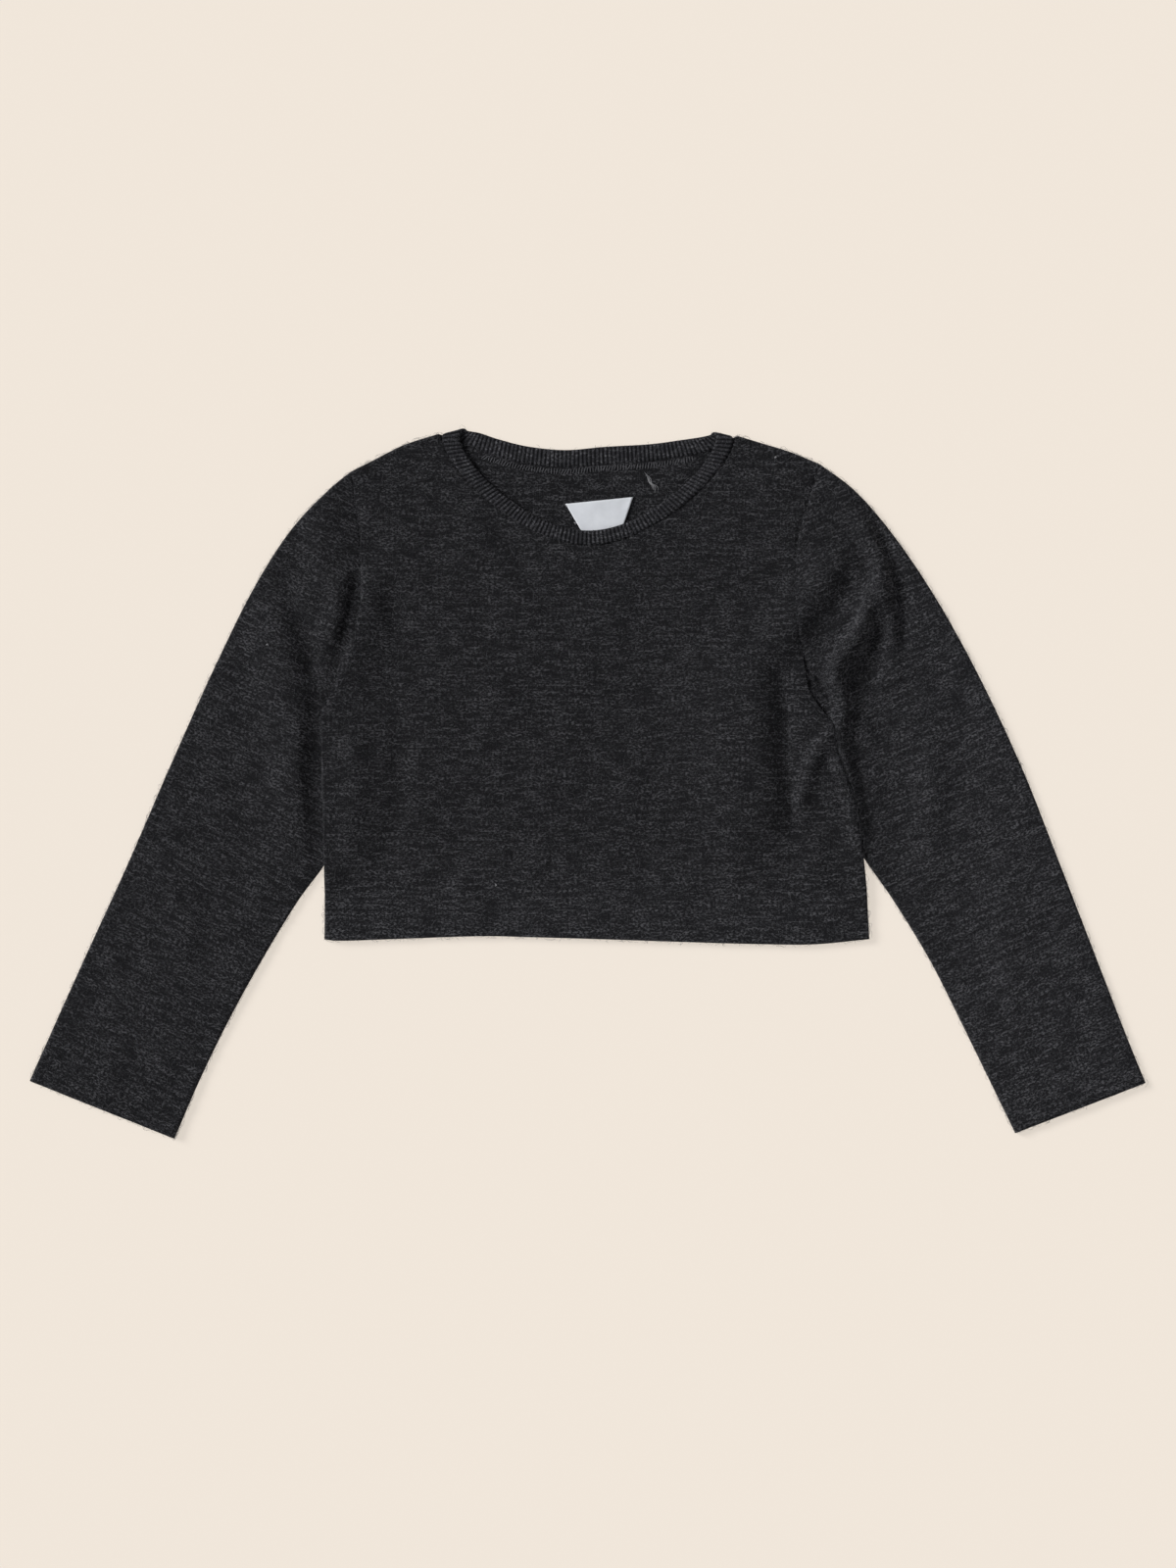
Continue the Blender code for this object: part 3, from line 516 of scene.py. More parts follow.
# %% Sizes and tones of the knit
WALE = 1.25  # mm between columns of stitches, as on a fine machine
COURSE = 0.95  # mm between rows of stitches
STREAK = (13.0, 2.3)  # mm, length and height of a grey stretch of yarn
SPECK = (1.7, 1.05)  # mm, where single grey fibres come to the surface
MOTTLE = 15.0  # mm, size of cloudy patches
CURL = 4.0  # mm, size of the curls that surface fibres draw
GROUND = colour("161618")
GREY_YARN = colour("4E4E51")
PALE_FIBRE = colour("6A6A6E")
# painted shade, mixed into the colour along the furrows between ribs
PAINTED_FURROW_SHADE = colour("0C0C0E")
SLEEVES_PALER = 0.1  # share by which the sleeves look paler than the body
RIGHT_PALER = 0.25  # and the right one still more
HEM_PALER = 0.26  # and the body along its hem
print("100 mm of jersey have", round(per_map(WALE)), "wales and", round(per_map(COURSE)), "courses")

# %% Sums, ramps and noises as nodes
def stretched(tree, place, size):
    """The map's place, scaled to a pattern of a length and a height in mm."""
    scale = (per_map(size[0]), per_map(size[1]), 1)
    return add(tree, "ShaderNodeMapping", {"Vector": place, "Scale": scale}).outputs["Vector"]


def noise(tree, place, scale, detail, distortion=0.0):
    made = add(tree, "ShaderNodeTexNoise", {
        "Vector": place, "Scale": scale, "Detail": detail, "Roughness": 0.6, "Distortion": distortion})
    return made.outputs["Fac"]


def ramp(tree, value, low, high, top=1.0):
    """0 below low, top above high and a straight rise between them."""
    made = add(tree, "ShaderNodeMapRange", {
        "Value": value, "From Min": low, "From Max": high, "To Max": top})
    return made.outputs["Result"]


def sum_of(tree, first, second, operation="ADD"):
    return add(tree, "ShaderNodeMath", {0: first, 1: second}, operation=operation).outputs["Value"]


def times(tree, first, second):
    return sum_of(tree, first, second, "MULTIPLY")


def mixed(tree, share, first, second):
    """A colour between two others."""
    made = add(tree, "ShaderNodeMix", {"Factor": share, "A": first, "B": second}, data_type="RGBA")
    return made.outputs[2]


print("patches of", MOTTLE, "mm need a noise with the scale", round(per_map(MOTTLE), 2))

# %% Patterns of the knit
def melange(tree, place):
    """Share of grey yarn, and of pale fibres that lie on it, at a place of the map."""
    streaks = noise(tree, stretched(tree, place, STREAK), 1.0, 3.0)
    specks = noise(tree, stretched(tree, place, SPECK), 1.0, 3.0)
    mottle = noise(tree, place, per_map(MOTTLE), 3.0)
    bright = sum_of(tree, times(tree, streaks, 1.5), times(tree, mottle, 0.5))
    grey = times(tree, ramp(tree, specks, 0.46, 0.76), ramp(tree, bright, 0.87, 1.3, 2.7))
    curled = 0.0
    for size, thin in ((CURL, 0.013), (CURL * 0.55, 0.02)):
        wander = noise(tree, place, per_map(size), 3.0, 1.8)
        off = sum_of(tree, sum_of(tree, wander, 0.5, "SUBTRACT"), 0.0, "ABSOLUTE")
        curled = sum_of(tree, curled, ramp(tree, off, thin, 0.0, 0.7))
    shown = ramp(tree, specks, 0.42, 0.6)
    return grey, times(tree, curled, shown)


def stitch_height(tree, place):
    """Rows of knitted V shapes, 0 to 1."""
    apart = add(tree, "ShaderNodeSeparateXYZ", {"Vector": stretched(tree, place, (WALE, COURSE))})
    across = sum_of(tree, apart.outputs["X"], 1.0, "PINGPONG")
    leaning = sum_of(tree, apart.outputs["Y"], across)
    rows = sum_of(tree, times(tree, leaning, math.tau), 0.0, "SINE")
    wales = sum_of(tree, times(tree, across, math.pi), 0.0, "SINE")
    return sum_of(tree, times(tree, rows, 0.35), times(tree, wales, 0.65))


def furrows(tree, place):
    """Where shade is painted: 1 along the middle of a furrow between two ribs, 0 on top of a rib."""
    apart = add(tree, "ShaderNodeSeparateXYZ", {"Vector": stretched(tree, place, (RIB_PITCH, 1.0))})
    wave = sum_of(tree, times(tree, apart.outputs["X"], math.tau), 0.0, "COSINE")
    return ramp(tree, wave, -0.5, 0.8)


def paler_in_places(tree):
    """How pale the cloth looks: more on the sleeves, the right one most, and along the hem."""
    spot = add(tree, "ShaderNodeTexCoord").outputs["Object"]
    apart = add(tree, "ShaderNodeSeparateXYZ", {"Vector": spot})
    aside = sum_of(tree, apart.outputs["X"], 0.0, "ABSOLUTE")
    arms = ramp(tree, aside, 0.15, 0.2, SLEEVES_PALER)
    right = ramp(tree, apart.outputs["X"], 0.165, 0.23, RIGHT_PALER)
    hem = ramp(tree, apart.outputs["Y"], -0.03, -0.08, HEM_PALER)
    hem = times(tree, hem, ramp(tree, aside, 0.17, 0.15))
    return sum_of(tree, sum_of(tree, sum_of(tree, arms, right), hem), 1.0)


print("grey yarn shows in streaks of", STREAK, "mm with specks of", SPECK, "mm")

# %% Wool jersey
def wool(name, ground, yarn, relief, furrow_shading=0.0):
    """Knitted melange wool: matt and fuzzy, darker between its stitches, with shade painted between its
    ribs.
    """
    made, tree, shader = started(name, 0.95, 0.12)
    place = add(tree, "ShaderNodeUVMap", uv_map=KNIT_MAP).outputs["UV"]
    grey, pale = melange(tree, place)
    fibred = mixed(tree, times(tree, pale, 0.8), mixed(tree, grey, ground, yarn), PALE_FIBRE)
    # paints shade into the colour along the furrows between the ribs
    shaded = mixed(tree, times(tree, furrows(tree, place), furrow_shading), fibred, PAINTED_FURROW_SHADE)
    # the colour is painted paler on the sleeves, the right one most, and along the hem
    tone = add(tree, "ShaderNodeVectorMath", {0: shaded, "Scale": paler_in_places(tree)}, operation="SCALE")
    tree.links.new(tone.outputs[0], shader.inputs["Base Color"])
    height = sum_of(tree, stitch_height(tree, place), sum_of(tree, grey, pale))
    bump = add(tree, "ShaderNodeBump", {"Height": height, "Strength": 0.6, "Distance": relief * MM})
    tree.links.new(bump.outputs["Normal"], shader.inputs["Normal"])
    shader.inputs["Sheen Weight"].default_value = 0.25
    shader.inputs["Sheen Roughness"].default_value = 0.3
    shader.inputs["Sheen Tint"].default_value = colour("B8B8BC")
    return made


JERSEY = wool("carded merino jersey", GROUND, GREY_YARN, 0.3)
# the rib's furrows get painted shade
RIB = wool("merino rib", colour("2A2A2D"), colour("606064"), 0.2, furrow_shading=0.85)
print("the jersey's material has", len(JERSEY.node_tree.nodes), "nodes")

# %% Label and threads
SATIN_RIB = 0.55  # mm
UNEVEN = 2.5  # mm, length of a paler stretch of a thread


def satin(name):
    """Woven polyester satin: smooth, with a soft gloss across its fine ribs."""
    made, tree, shader = started(name, 0.42, 0.45)
    place = add(tree, "ShaderNodeUVMap", uv_map=KNIT_MAP).outputs["UV"]
    weave = add(tree, "ShaderNodeTexWave", {
        "Vector": place, "Scale": per_map(SATIN_RIB) / 2, "Distortion": 0.6, "Detail": 1.0,
    }, bands_direction="Y")
    dust = add(tree, "ShaderNodeTexNoise", {"Vector": place, "Scale": per_map(9.0), "Detail": 4.0})
    dusty = ramp(tree, dust.outputs["Fac"], 0.3, 0.75)
    tone = mixed(tree, dusty, colour("E2E5EA"), colour("D2D5DA"))
    tree.links.new(tone, shader.inputs["Base Color"])
    bump = add(tree, "ShaderNodeBump", {
        "Height": weave.outputs["Fac"], "Strength": 0.25, "Distance": 0.05 * MM})
    tree.links.new(bump.outputs["Normal"], shader.inputs["Normal"])
    shader.inputs["Sheen Weight"].default_value = 0.1
    return made


def thread(name, code, roughness=0.7):
    """Spun thread or a single fibre: one tone with a little unevenness along it."""
    made, tree, shader = started(name, roughness, 0.2)
    spot = add(tree, "ShaderNodeTexCoord").outputs["Object"]
    uneven = add(tree, "ShaderNodeTexNoise", {"Vector": spot, "Scale": 1 / (UNEVEN * MM), "Detail": 2.0})
    dark = [0.7 * part for part in colour(code)[:3]]
    tone = mixed(tree, uneven.outputs["Fac"], (*dark, 1), colour(code))
    tree.links.new(tone, shader.inputs["Base Color"])
    return made


SATIN = satin("woven satin")
OVERLOCK_THREAD = thread("grey overlock thread", "6A6A6E")
PULLED_YARN = thread("pulled grey yarn", "626266")
FLUFF = thread("wool fibre", "646468", 0.9)
LINT = thread("pale lint", "A9A9AC", 0.9)
print(len(bpy.data.materials), "materials so far")

# %% [markdown]
# ## Front and back
#
# A panel is one flat piece of jersey with a hem turned up at its foot. Its grid runs between
# the hem and the shoulders, and closes up near every edge, where the cloth turns down into a
# seam. The real edge of a pressed garment is a fold about as round as the cloth is thick, so
# the points there follow a quarter circle.

# %% The grid of a panel
EDGE_STEPS = 6
EDGE_REACH = 2.0  # mm over which a folded edge turns down
EDGE_TURNS = np.linspace(0, 0.5 * np.pi, EDGE_STEPS + 1)[:-1]
EDGE_INSETS = np.linspace(0, EDGE_REACH, EDGE_STEPS + 1)
LOWER_EDGE = 40  # points of a side edge that lie well below the armpit
print("a folded edge turns down in", EDGE_STEPS, "steps within", EDGE_REACH, "mm")


def top_row(pieces, u):
    """Points along both shoulders and the neckline, with one of them at each corner."""
    lengths = np.array([path_length(piece) for piece in pieces])
    corners = np.cumsum(lengths)[:2] / np.sum(lengths)
    columns = [u[np.argmin(np.abs(u - corner))] for corner in corners]
    shares = np.interp(u, [0, *columns, 1], [0, *corners, 1])
    return along(np.vstack([pieces[0][:-1], pieces[1], pieces[2][1:]]), shares)


def panel_points(panel, top_edge, columns, rows):
    """A panel's grid of places, from the hem up, and each row's share of the hem's wall."""
    sides = [body_edge(side, panel) for side in (LEFT, RIGHT)]
    width = SIDE_RIGHT[0].x - SIDE_LEFT[0].x
    insets = EDGE_INSETS / width
    middle = np.linspace(insets[-1], 1 - insets[-1], columns + 1)
    u = np.concatenate([insets[:-1], middle, 1 - insets[:-1][::-1]])
    hem_top = BODY_HEM + HEM_STEP / 2
    hem_rows = rows // 10
    heights = np.concatenate([
        np.linspace(0, BODY_HEM - HEM_STEP / 2, hem_rows)[:-1],
        np.linspace(BODY_HEM - HEM_STEP / 2, hem_top, 5)])
    hem_line = along(smooth_path(HEM_EDGE), u)
    side_rows = []
    for edge in sides:
        start_y = edge[0, 1] + hem_top
        start_x = np.interp(start_y, edge[:LOWER_EDGE, 1], edge[:LOWER_EDGE, 0])
        side_rows.append(np.vstack([[(start_x, start_y)], edge[edge[:, 1] >= start_y]]))
    grid = []
    for height in heights:
        lean = [height / hem_top * (row[0, 0] - edge[0, 0]) for row, edge in zip(side_rows, sides)]
        leaned = lean[0] * (1 - u) + lean[1] * u
        grid.append(hem_line + np.column_stack([leaned, np.full(len(u), height)]))
    base = grid[-1]
    roof = top_row(top_edge, u)
    tall = NECK_TOP_Y - HEM_EDGE[0].y - hem_top
    top_insets = EDGE_INSETS / tall
    v = np.concatenate([np.linspace(0, 1 - top_insets[-1], rows + 1)[1:], 1 - top_insets[:-1][::-1]])
    left, right = (along(row, v) for row in side_rows)
    for share, at_left, at_right in zip(v, left, right):
        ruled = (1 - share) * base + share * roof
        low_corner = (1 - share) * base[0] + share * roof[0]
        high_corner = (1 - share) * base[-1] + share * roof[-1]
        grid.append(ruled + np.outer(1 - u, at_left - low_corner) + np.outer(u, at_right - high_corner))
    return np.array(grid), hem_share(np.concatenate([heights, hem_top + v * tall]), BODY_HEM)


# %% Folding its edges down, and the neckline
TURN_IN = 0.85  # how much of the reach an edge turns in by
TURN_FALL = 0.95  # and how much of the way down to the seam


def turn_down(points, high, seam, edge, inward, roll):
    """Turn one edge of a grid down to its seam. roll is 1 where it is folded, 0 where flat."""
    reach = points[inward] - points[edge[0]]
    reach = reach / np.linalg.norm(reach, axis=1)[:, None]
    rim = points[edge[0]].copy()
    for place, turn in zip(edge, EDGE_TURNS):
        rolled = rim + reach * EDGE_REACH * TURN_IN * (1 - math.cos(turn))
        points[place] += roll[:, None] * (rolled - points[place])
        high[place] -= roll * (TURN_FALL * (1 - math.sin(turn))) * (high[place] - seam[place])


def fold_edges(points, high, seam, side_roll, top_roll):
    """Turn a panel's sides and its top down to their seams."""
    at_left = range(EDGE_STEPS)
    at_right = range(-1, -1 - EDGE_STEPS, -1)
    for columns, inward in ((at_left, EDGE_STEPS), (at_right, -1 - EDGE_STEPS)):
        edge = [(slice(None), column) for column in columns]
        turn_down(points, high, seam, edge, (slice(None), inward), side_roll)
    edge = [(row, slice(None)) for row in at_right]
    turn_down(points, high, seam, edge, (-1 - EDGE_STEPS, slice(None)), top_roll)


def neck_curve(reach, grow=0.0):
    """A neckline from the left shoulder round to the right one."""
    turn = np.linspace(0, np.pi, 2 * NECK_ARC + 1)
    x = -(reach.x + grow) * np.cos(turn) * (1 - NECK_PULL * np.sin(turn) ** 2)
    y = NECK_TOP_Y - (reach.y + grow) * np.abs(np.sin(turn)) ** NECK_POWER
    return np.stack([x, y], axis=-1)


print("the neckline is", round(path_length(neck_curve(NECK_SEAM))), "mm long at its seam")

# %% Heights of the panels
SEAM_DIP = 0.5  # mm, how deep a seam between two pieces sinks
SEAM_SPREAD = 1.3
PUCKER = 7.0  # mm between the puckers that a seam draws up
PUCKER_RISE = 0.16
TWO_WALLS = 2.1  # walls that two layers need, with a little air between them
FRONT_WAVES = ((0.35, 46, 3), (0.14, 17, 4))  # rise and length in mm, and seed


def wall_of(hems):
    return KNIT + (HEM_WALL - KNIT) * hems


def seam_dip(path, x, y):
    """How far cloth sinks towards a seam, with small puckers beside it."""
    off, passed = beside(path, x, y)
    near = np.exp(-(off / SEAM_SPREAD) ** 2)
    beside_it = np.exp(-((np.abs(off) - 4.0) / 3.0) ** 2)
    ripple = np.sin(math.tau * passed * path_length(path) / PUCKER) * np.sin(23 * passed + 1)
    return -SEAM_DIP * near + PUCKER_RISE * beside_it * ripple


def with_waves(high, waves, x, y):
    """Heights with the waves that smoothing by hand has left in the cloth."""
    for rise, length, seed in waves:
        high = high + rise * slack(x, y, length, seed)
    return high


def back_low(x, y):
    """Under face of the back panel."""
    return BACK_LIFT * lifted("back", x, y)


def front_high(x, y, hem):
    """Upper face of the front panel, always clear of the back panel."""
    raised = lifted("front", x, y)
    high = TOP + (HEM_WALL - KNIT) * hem + FRONT_LIFT * raised + fold_height(FRONT_FOLDS, x, y)
    high = with_waves(high, FRONT_WAVES, x, y)
    for side in (LEFT, RIGHT):
        sewn = smooth_step(*side.front_clear, y)
        high = high + sewn * seam_dip(sleeve_end(side), x, y)
    high = high + seam_dip(neck_curve(NECK_SEAM), x, y)
    least = back_low(x, y) + TWO_WALLS * wall_of(hem) + 2 * SEAM_GAP * (1 - lifted("back", x, y) / 2)
    return np.maximum(high, least)


chest = front_high(np.zeros(1), np.zeros(1), np.zeros(1))
print("in its middle the front's face lies", round(float(chest[0]), 2), "mm high")

# %% Laying the panels
SIDE_ROLL = (-16, 2)  # mm up from the armpit, where the side's fold ends
SHOULDER_ROLL = (-2.4, 0.4)  # mm out from the neckband's seam, where the shoulder's fold starts


def side_roll_of(points):
    """1 along a folded side seam, fading to 0 where the armhole starts."""
    low, high = (ARMHOLE_RIGHT[0].y + off for off in SIDE_ROLL)
    return 1 - smooth_step(low, high, points[:, 0, 1])


def back_seam():
    """The neckband's seam along the back, from left to right."""
    return smooth_path([(stop.seam_x, stop.seam_y) for stop in BAND_BACK[::-1]])


def top_edge_of(neck):
    """A panel's top edge in three parts: left shoulder, neckline and right shoulder."""
    neck = np.vstack([SHOULDER_LEFT[-1], neck[1:-1], SHOULDER_RIGHT[-1]])
    return [smooth_path(SHOULDER_LEFT), neck, smooth_path(SHOULDER_RIGHT)[::-1]]


def lay_front():
    top_edge = top_edge_of(neck_curve(NECK_SEAM, -SEWN_LAP))
    points, hems = panel_points("front", top_edge, columns=196, rows=160)
    knit_uv = points.copy()
    x, y = points[..., 0], points[..., 1]
    high = front_high(x, y, hems[:, None])
    seam = back_low(x, y) + wall_of(hems[:, None]) + SEAM_GAP
    start, full = (NECK_SEAM.x + off for off in SHOULDER_ROLL)
    top_roll = smooth_step(start, full, np.abs(points[-1, :, 0]))
    fold_edges(points, high, seam, side_roll_of(points), top_roll)
    made = cloth_object("front_cloth", np.dstack([points, high]), knit_uv, JERSEY)
    give_wall(made, np.repeat(wall_of(hems), points.shape[1]))
    return made


def lay_back():
    top_edge = top_edge_of(shifted(back_seam(), -2 * SEWN_LAP))
    points, hems = panel_points("back", top_edge, columns=84, rows=72)
    low = back_low(points[..., 0], points[..., 1])
    outer = np.dstack([points, low])[:, ::-1]
    made = cloth_object("back_cloth", outer, points[:, ::-1] * (-1, 1), JERSEY)
    give_wall(made, np.repeat(wall_of(hems), points.shape[1]))
    return made


front = lay_front()
back = lay_back()
report(front)
report(back)

# %% [markdown]
# ## Sleeves
#
# A sleeve is a tube pressed flat, so its section is a long slot with two round ends. It could
# be two sheets, but a ring of points all round keeps the folds along the arm closed, as they
# are on the real one. The rings start in the curve of the armhole and straighten along the arm.

# %% Rings of an arm
ARM_PANELS = (84, 24)  # divisions of the upper and the under face
ARM_START = 2.4  # mm from the armhole with the closest rings
CREASED = 0.46  # share of the arm's length that has the folds, and needs closer rings
CREASED_RINGS = 140
ARM_TURNS = np.linspace(0.5 * np.pi, -0.5 * np.pi, 8)[1:-1]


def arm_sections(side):
    """Shares of the arm's length where its rings lie, and their share of the hem's wall."""
    length = path_length(smooth_path(side.arm_fold))
    start = ARM_START / length
    hem_in = 1 - (CUFF_HEM + HEM_STEP / 2) / length
    hem_out = 1 - (CUFF_HEM - HEM_STEP / 2) / length
    shares = np.concatenate([
        np.linspace(0, start, 4)[:-1], np.linspace(start, CREASED, CREASED_RINGS),
        np.linspace(CREASED, hem_in, CREASED_RINGS // 2)[1:], np.linspace(hem_in, hem_out, 4)[1:],
        np.linspace(hem_out, 1, 9)[1:]])
    return shares, hem_share((1 - shares) * length, CUFF_HEM)


def under_share(shares):
    """Share of the underarm fold that faces a share of the top fold: it waits at the armpit."""
    def waited(share):
        return np.sqrt((share - ARMPIT_PAUSE) ** 2 + ARMPIT_BLEND**2) + share - ARMPIT_PAUSE
    return (waited(shares) - waited(0.0)) / (waited(1.0) - waited(0.0))


def sleeve_plan(side, shares):
    """A function that gives the places of a sleeve's rings, by share along and across."""
    top_fold = along(smooth_path(side.arm_fold), shares)
    under_fold = along(smooth_path(side.underarm), under_share(shares))
    end = sleeve_end(side)[::-1]
    straight = (1 - np.clip(shares / CAP_REACH, 0, 1)) ** 2

    def place(row, across):
        across = np.asarray(across)[:, None]
        ruled = top_fold[row] * (1 - across) + under_fold[row] * across
        chord = end[0] * (1 - across) + end[-1] * across
        return ruled + (along(end, across[:, 0]) - chord) * straight[row]

    return place, np.linalg.norm(under_fold - top_fold, axis=1)


print("an arm has", len(arm_sections(LEFT)[0]), "rings")

# %% Height and map of a sleeve
SLEEVE_WAVES = ((0.35, 42, 5), (0.14, 16, 6))


def sleeve_high(side, x, y, hem):
    """Upper face of a sleeve, pressed down where the body lies on it."""
    off, _ = beside(body_edge(side, "front"), x, y)
    covered = smooth_step(*side.pressed, -side.turn * off) * (1 - smooth_step(*side.front_clear, y))
    high = TOP + (HEM_WALL - KNIT) * hem + fold_height(side.folds, x, y)
    high = with_waves(high, SLEEVE_WAVES, x, y)
    high = high + smooth_step(*side.front_clear, y) * seam_dip(sleeve_end(side), x, y)
    least = TWO_WALLS * wall_of(hem) + SEAM_GAP
    return TUCK_TOP * covered + np.maximum(high, least) * (1 - covered)


def arm_map(side, points):
    """A sleeve's map of its knit, whose rows run across the lower arm."""
    run = np.array(side.arm_fold[-1]) - np.array(side.arm_fold[4])
    lean = math.atan2(run[0], -run[1])
    x, y = points[..., 0], points[..., 1]
    across = x * math.cos(lean) + y * math.sin(lean)
    down = y * math.cos(lean) - x * math.sin(lean)
    return np.dstack([across, down])


wrist = sleeve_high(LEFT, np.array([-270.0]), np.array([-130.0]), np.zeros(1))
print("above the left cuff the sleeve is", round(float(wrist[0]), 2), "mm high")

# %% Laying the sleeves
def lay_sleeve(name, side):
    shares, hems = arm_sections(side)
    place, widths = sleeve_plan(side, shares)
    ends = np.array([place(row, [0.0, 1.0]) for row in range(len(shares))])
    radii = sleeve_high(side, ends[..., 0], ends[..., 1], hems[:, None]) / 2
    reaches = radii / widths[:, None]
    flats = np.linspace(reaches[:, 0], 1 - reaches[:, 1], ARM_PANELS[0] + 1, axis=1)
    uppers = np.array([place(row, flat) for row, flat in enumerate(flats)])
    highs = sleeve_high(side, uppers[..., 0], uppers[..., 1], hems[:, None])
    rings = []
    for row, (upper, high, flat, radius, reach) in enumerate(zip(uppers, highs, flats, radii, reaches)):
        fade = smooth_step(1, 4, np.minimum(flat / reach[0], (1 - flat) / reach[1]))
        rim = np.interp(flat, [0, 1], 2 * radius)
        under = place(row, np.linspace(1 - reach[1], reach[0], ARM_PANELS[1] + 1))
        inner = place(row, 1 - reach[1] + reach[1] * np.cos(ARM_TURNS))
        outer = place(row, reach[0] - reach[0] * np.cos(ARM_TURNS[::-1]))
        rings.append(np.vstack([
            np.column_stack([upper, rim + (high - rim) * fade]),
            np.column_stack([inner, radius[1] * (1 + np.sin(ARM_TURNS))]),
            np.column_stack([under, np.zeros(len(under))]),
            np.column_stack([outer, radius[0] * (1 + np.sin(ARM_TURNS[::-1]))])]))
    points = np.array(rings)
    knit_uv = arm_map(side, points)
    if side is LEFT:
        points, knit_uv = points[:, ::-1], knit_uv[:, ::-1]
    closed_uv = np.concatenate([knit_uv, knit_uv[:, :1]], axis=1)
    made = cloth_object(name, points, closed_uv, JERSEY, close_columns=True)
    give_wall(made, ring_walls(made, hems, points.shape[1]))
    return made


def ring_walls(made, hems, columns):
    """The wall at each point of a tube, whose first and last columns have been joined."""
    walls = np.repeat(wall_of(hems), columns)
    return walls[:len(made.data.vertices)]


sleeves = [lay_sleeve("sleeve_left_cloth", LEFT), lay_sleeve("sleeve_right_cloth", RIGHT)]
for sleeve in sleeves:
    report(sleeve)

# %% [markdown]
# ## Neckband
#
# The band is a strip of rib, doubled and sewn on by its open edges. It goes right round the
# neck: over the front edge, round the fold at each shoulder and along the back, where the
# garment lies on it. Each rib is a column of loops standing out between two sunken ones.
# Modelling the ribs keeps their shadows right from every side; a bump would lose them. Their
# material paints more shade into the furrows.

# %% The band's route
def band_route():
    """The band's seam edge and free edge on its right side, right round the neck."""
    ends = np.array(BAND_FRONT_ENDS)
    fronts = []
    for column, reach in ((0, NECK_SEAM), (2, NECK_FREE)):
        first, last = ends[:, column:column + 2]
        plan = np.vstack([first, neck_curve(reach)[2:-2], last])
        fronts.append(np.column_stack([plan, np.full(len(plan), BAND_TOP)]))
    stops = np.array(BAND_BACK)
    backs = [np.column_stack([stops[:, column:column + 2], np.zeros(len(stops))]) for column in (0, 2)]
    turn = np.linspace(0, np.pi, TURN_STOPS + 2)[1:-1, None]
    turns = []
    for first, last in (([edge[-1] for edge in fronts], [edge[0] for edge in backs]),
                        ([edge[-1] for edge in backs], [edge[0] for edge in fronts])):
        across = (first[1] - first[0] + last[1] - last[0]) / 2
        outward = np.array([-across[1], across[0], 0]) * np.sign(across[0])
        outward = outward / np.linalg.norm(outward)
        edges = []
        for start, end in zip(first, last):
            way = start + (end - start) * turn / np.pi
            way[:, 2] = ((start + end) / 2 + (start - end) / 2 * np.cos(turn))[:, 2]
            edges.append(way + outward * (BAND_TOP / 2) * np.sin(turn))
        turns.append(edges)
    return [np.vstack([fronts[k], turns[0][k], backs[k], turns[1][k]]) for k in (0, 1)]


def evenly_placed(edges, count):
    """Both edges of a closed strip, at places that are evenly spaced along its middle."""
    closed = [np.vstack([edge[-2:], edge, edge[:3]]) for edge in edges]
    fine = [smooth_path(edge, 10)[20:-20] for edge in closed]
    middle = (fine[0] + fine[1]) / 2
    reach = np.concatenate([[0], np.cumsum(np.linalg.norm(np.diff(middle, axis=0), axis=1))])
    wanted = np.linspace(0, reach[-1], count + 1)[:-1]
    placed = []
    for edge in fine:
        placed.append(np.stack([np.interp(wanted, reach, edge[:, k]) for k in range(3)], axis=-1))
    return placed


route = [path_length(edge) for edge in band_route()]
print("right round, the band is", [round(length) for length in route], "mm long at its two edges")

# %% Its ribs
RIB_STEPS = 8  # divisions of each rib
FACE_ROWS = 9  # points across the band's outer face
INNER_ROWS = 7  # and across its inner face
FACE_ROUND = 0.42  # mm, how far the outer face's edges are rounded off
INNER_ROUND = 0.3


def rib_height(turn):
    """Height of the ribs, one for each full turn: round, with narrow furrows, and uneven."""
    uneven = 1 + 0.25 * np.sin(turn / 5.3) + 0.2 * np.sin(turn / 2.1 + 2)
    return RIB_RISE * np.clip(0.5 - 0.62 * np.cos(turn), 0, 1) ** 0.7 * np.clip(uneven, 0.6, 1)


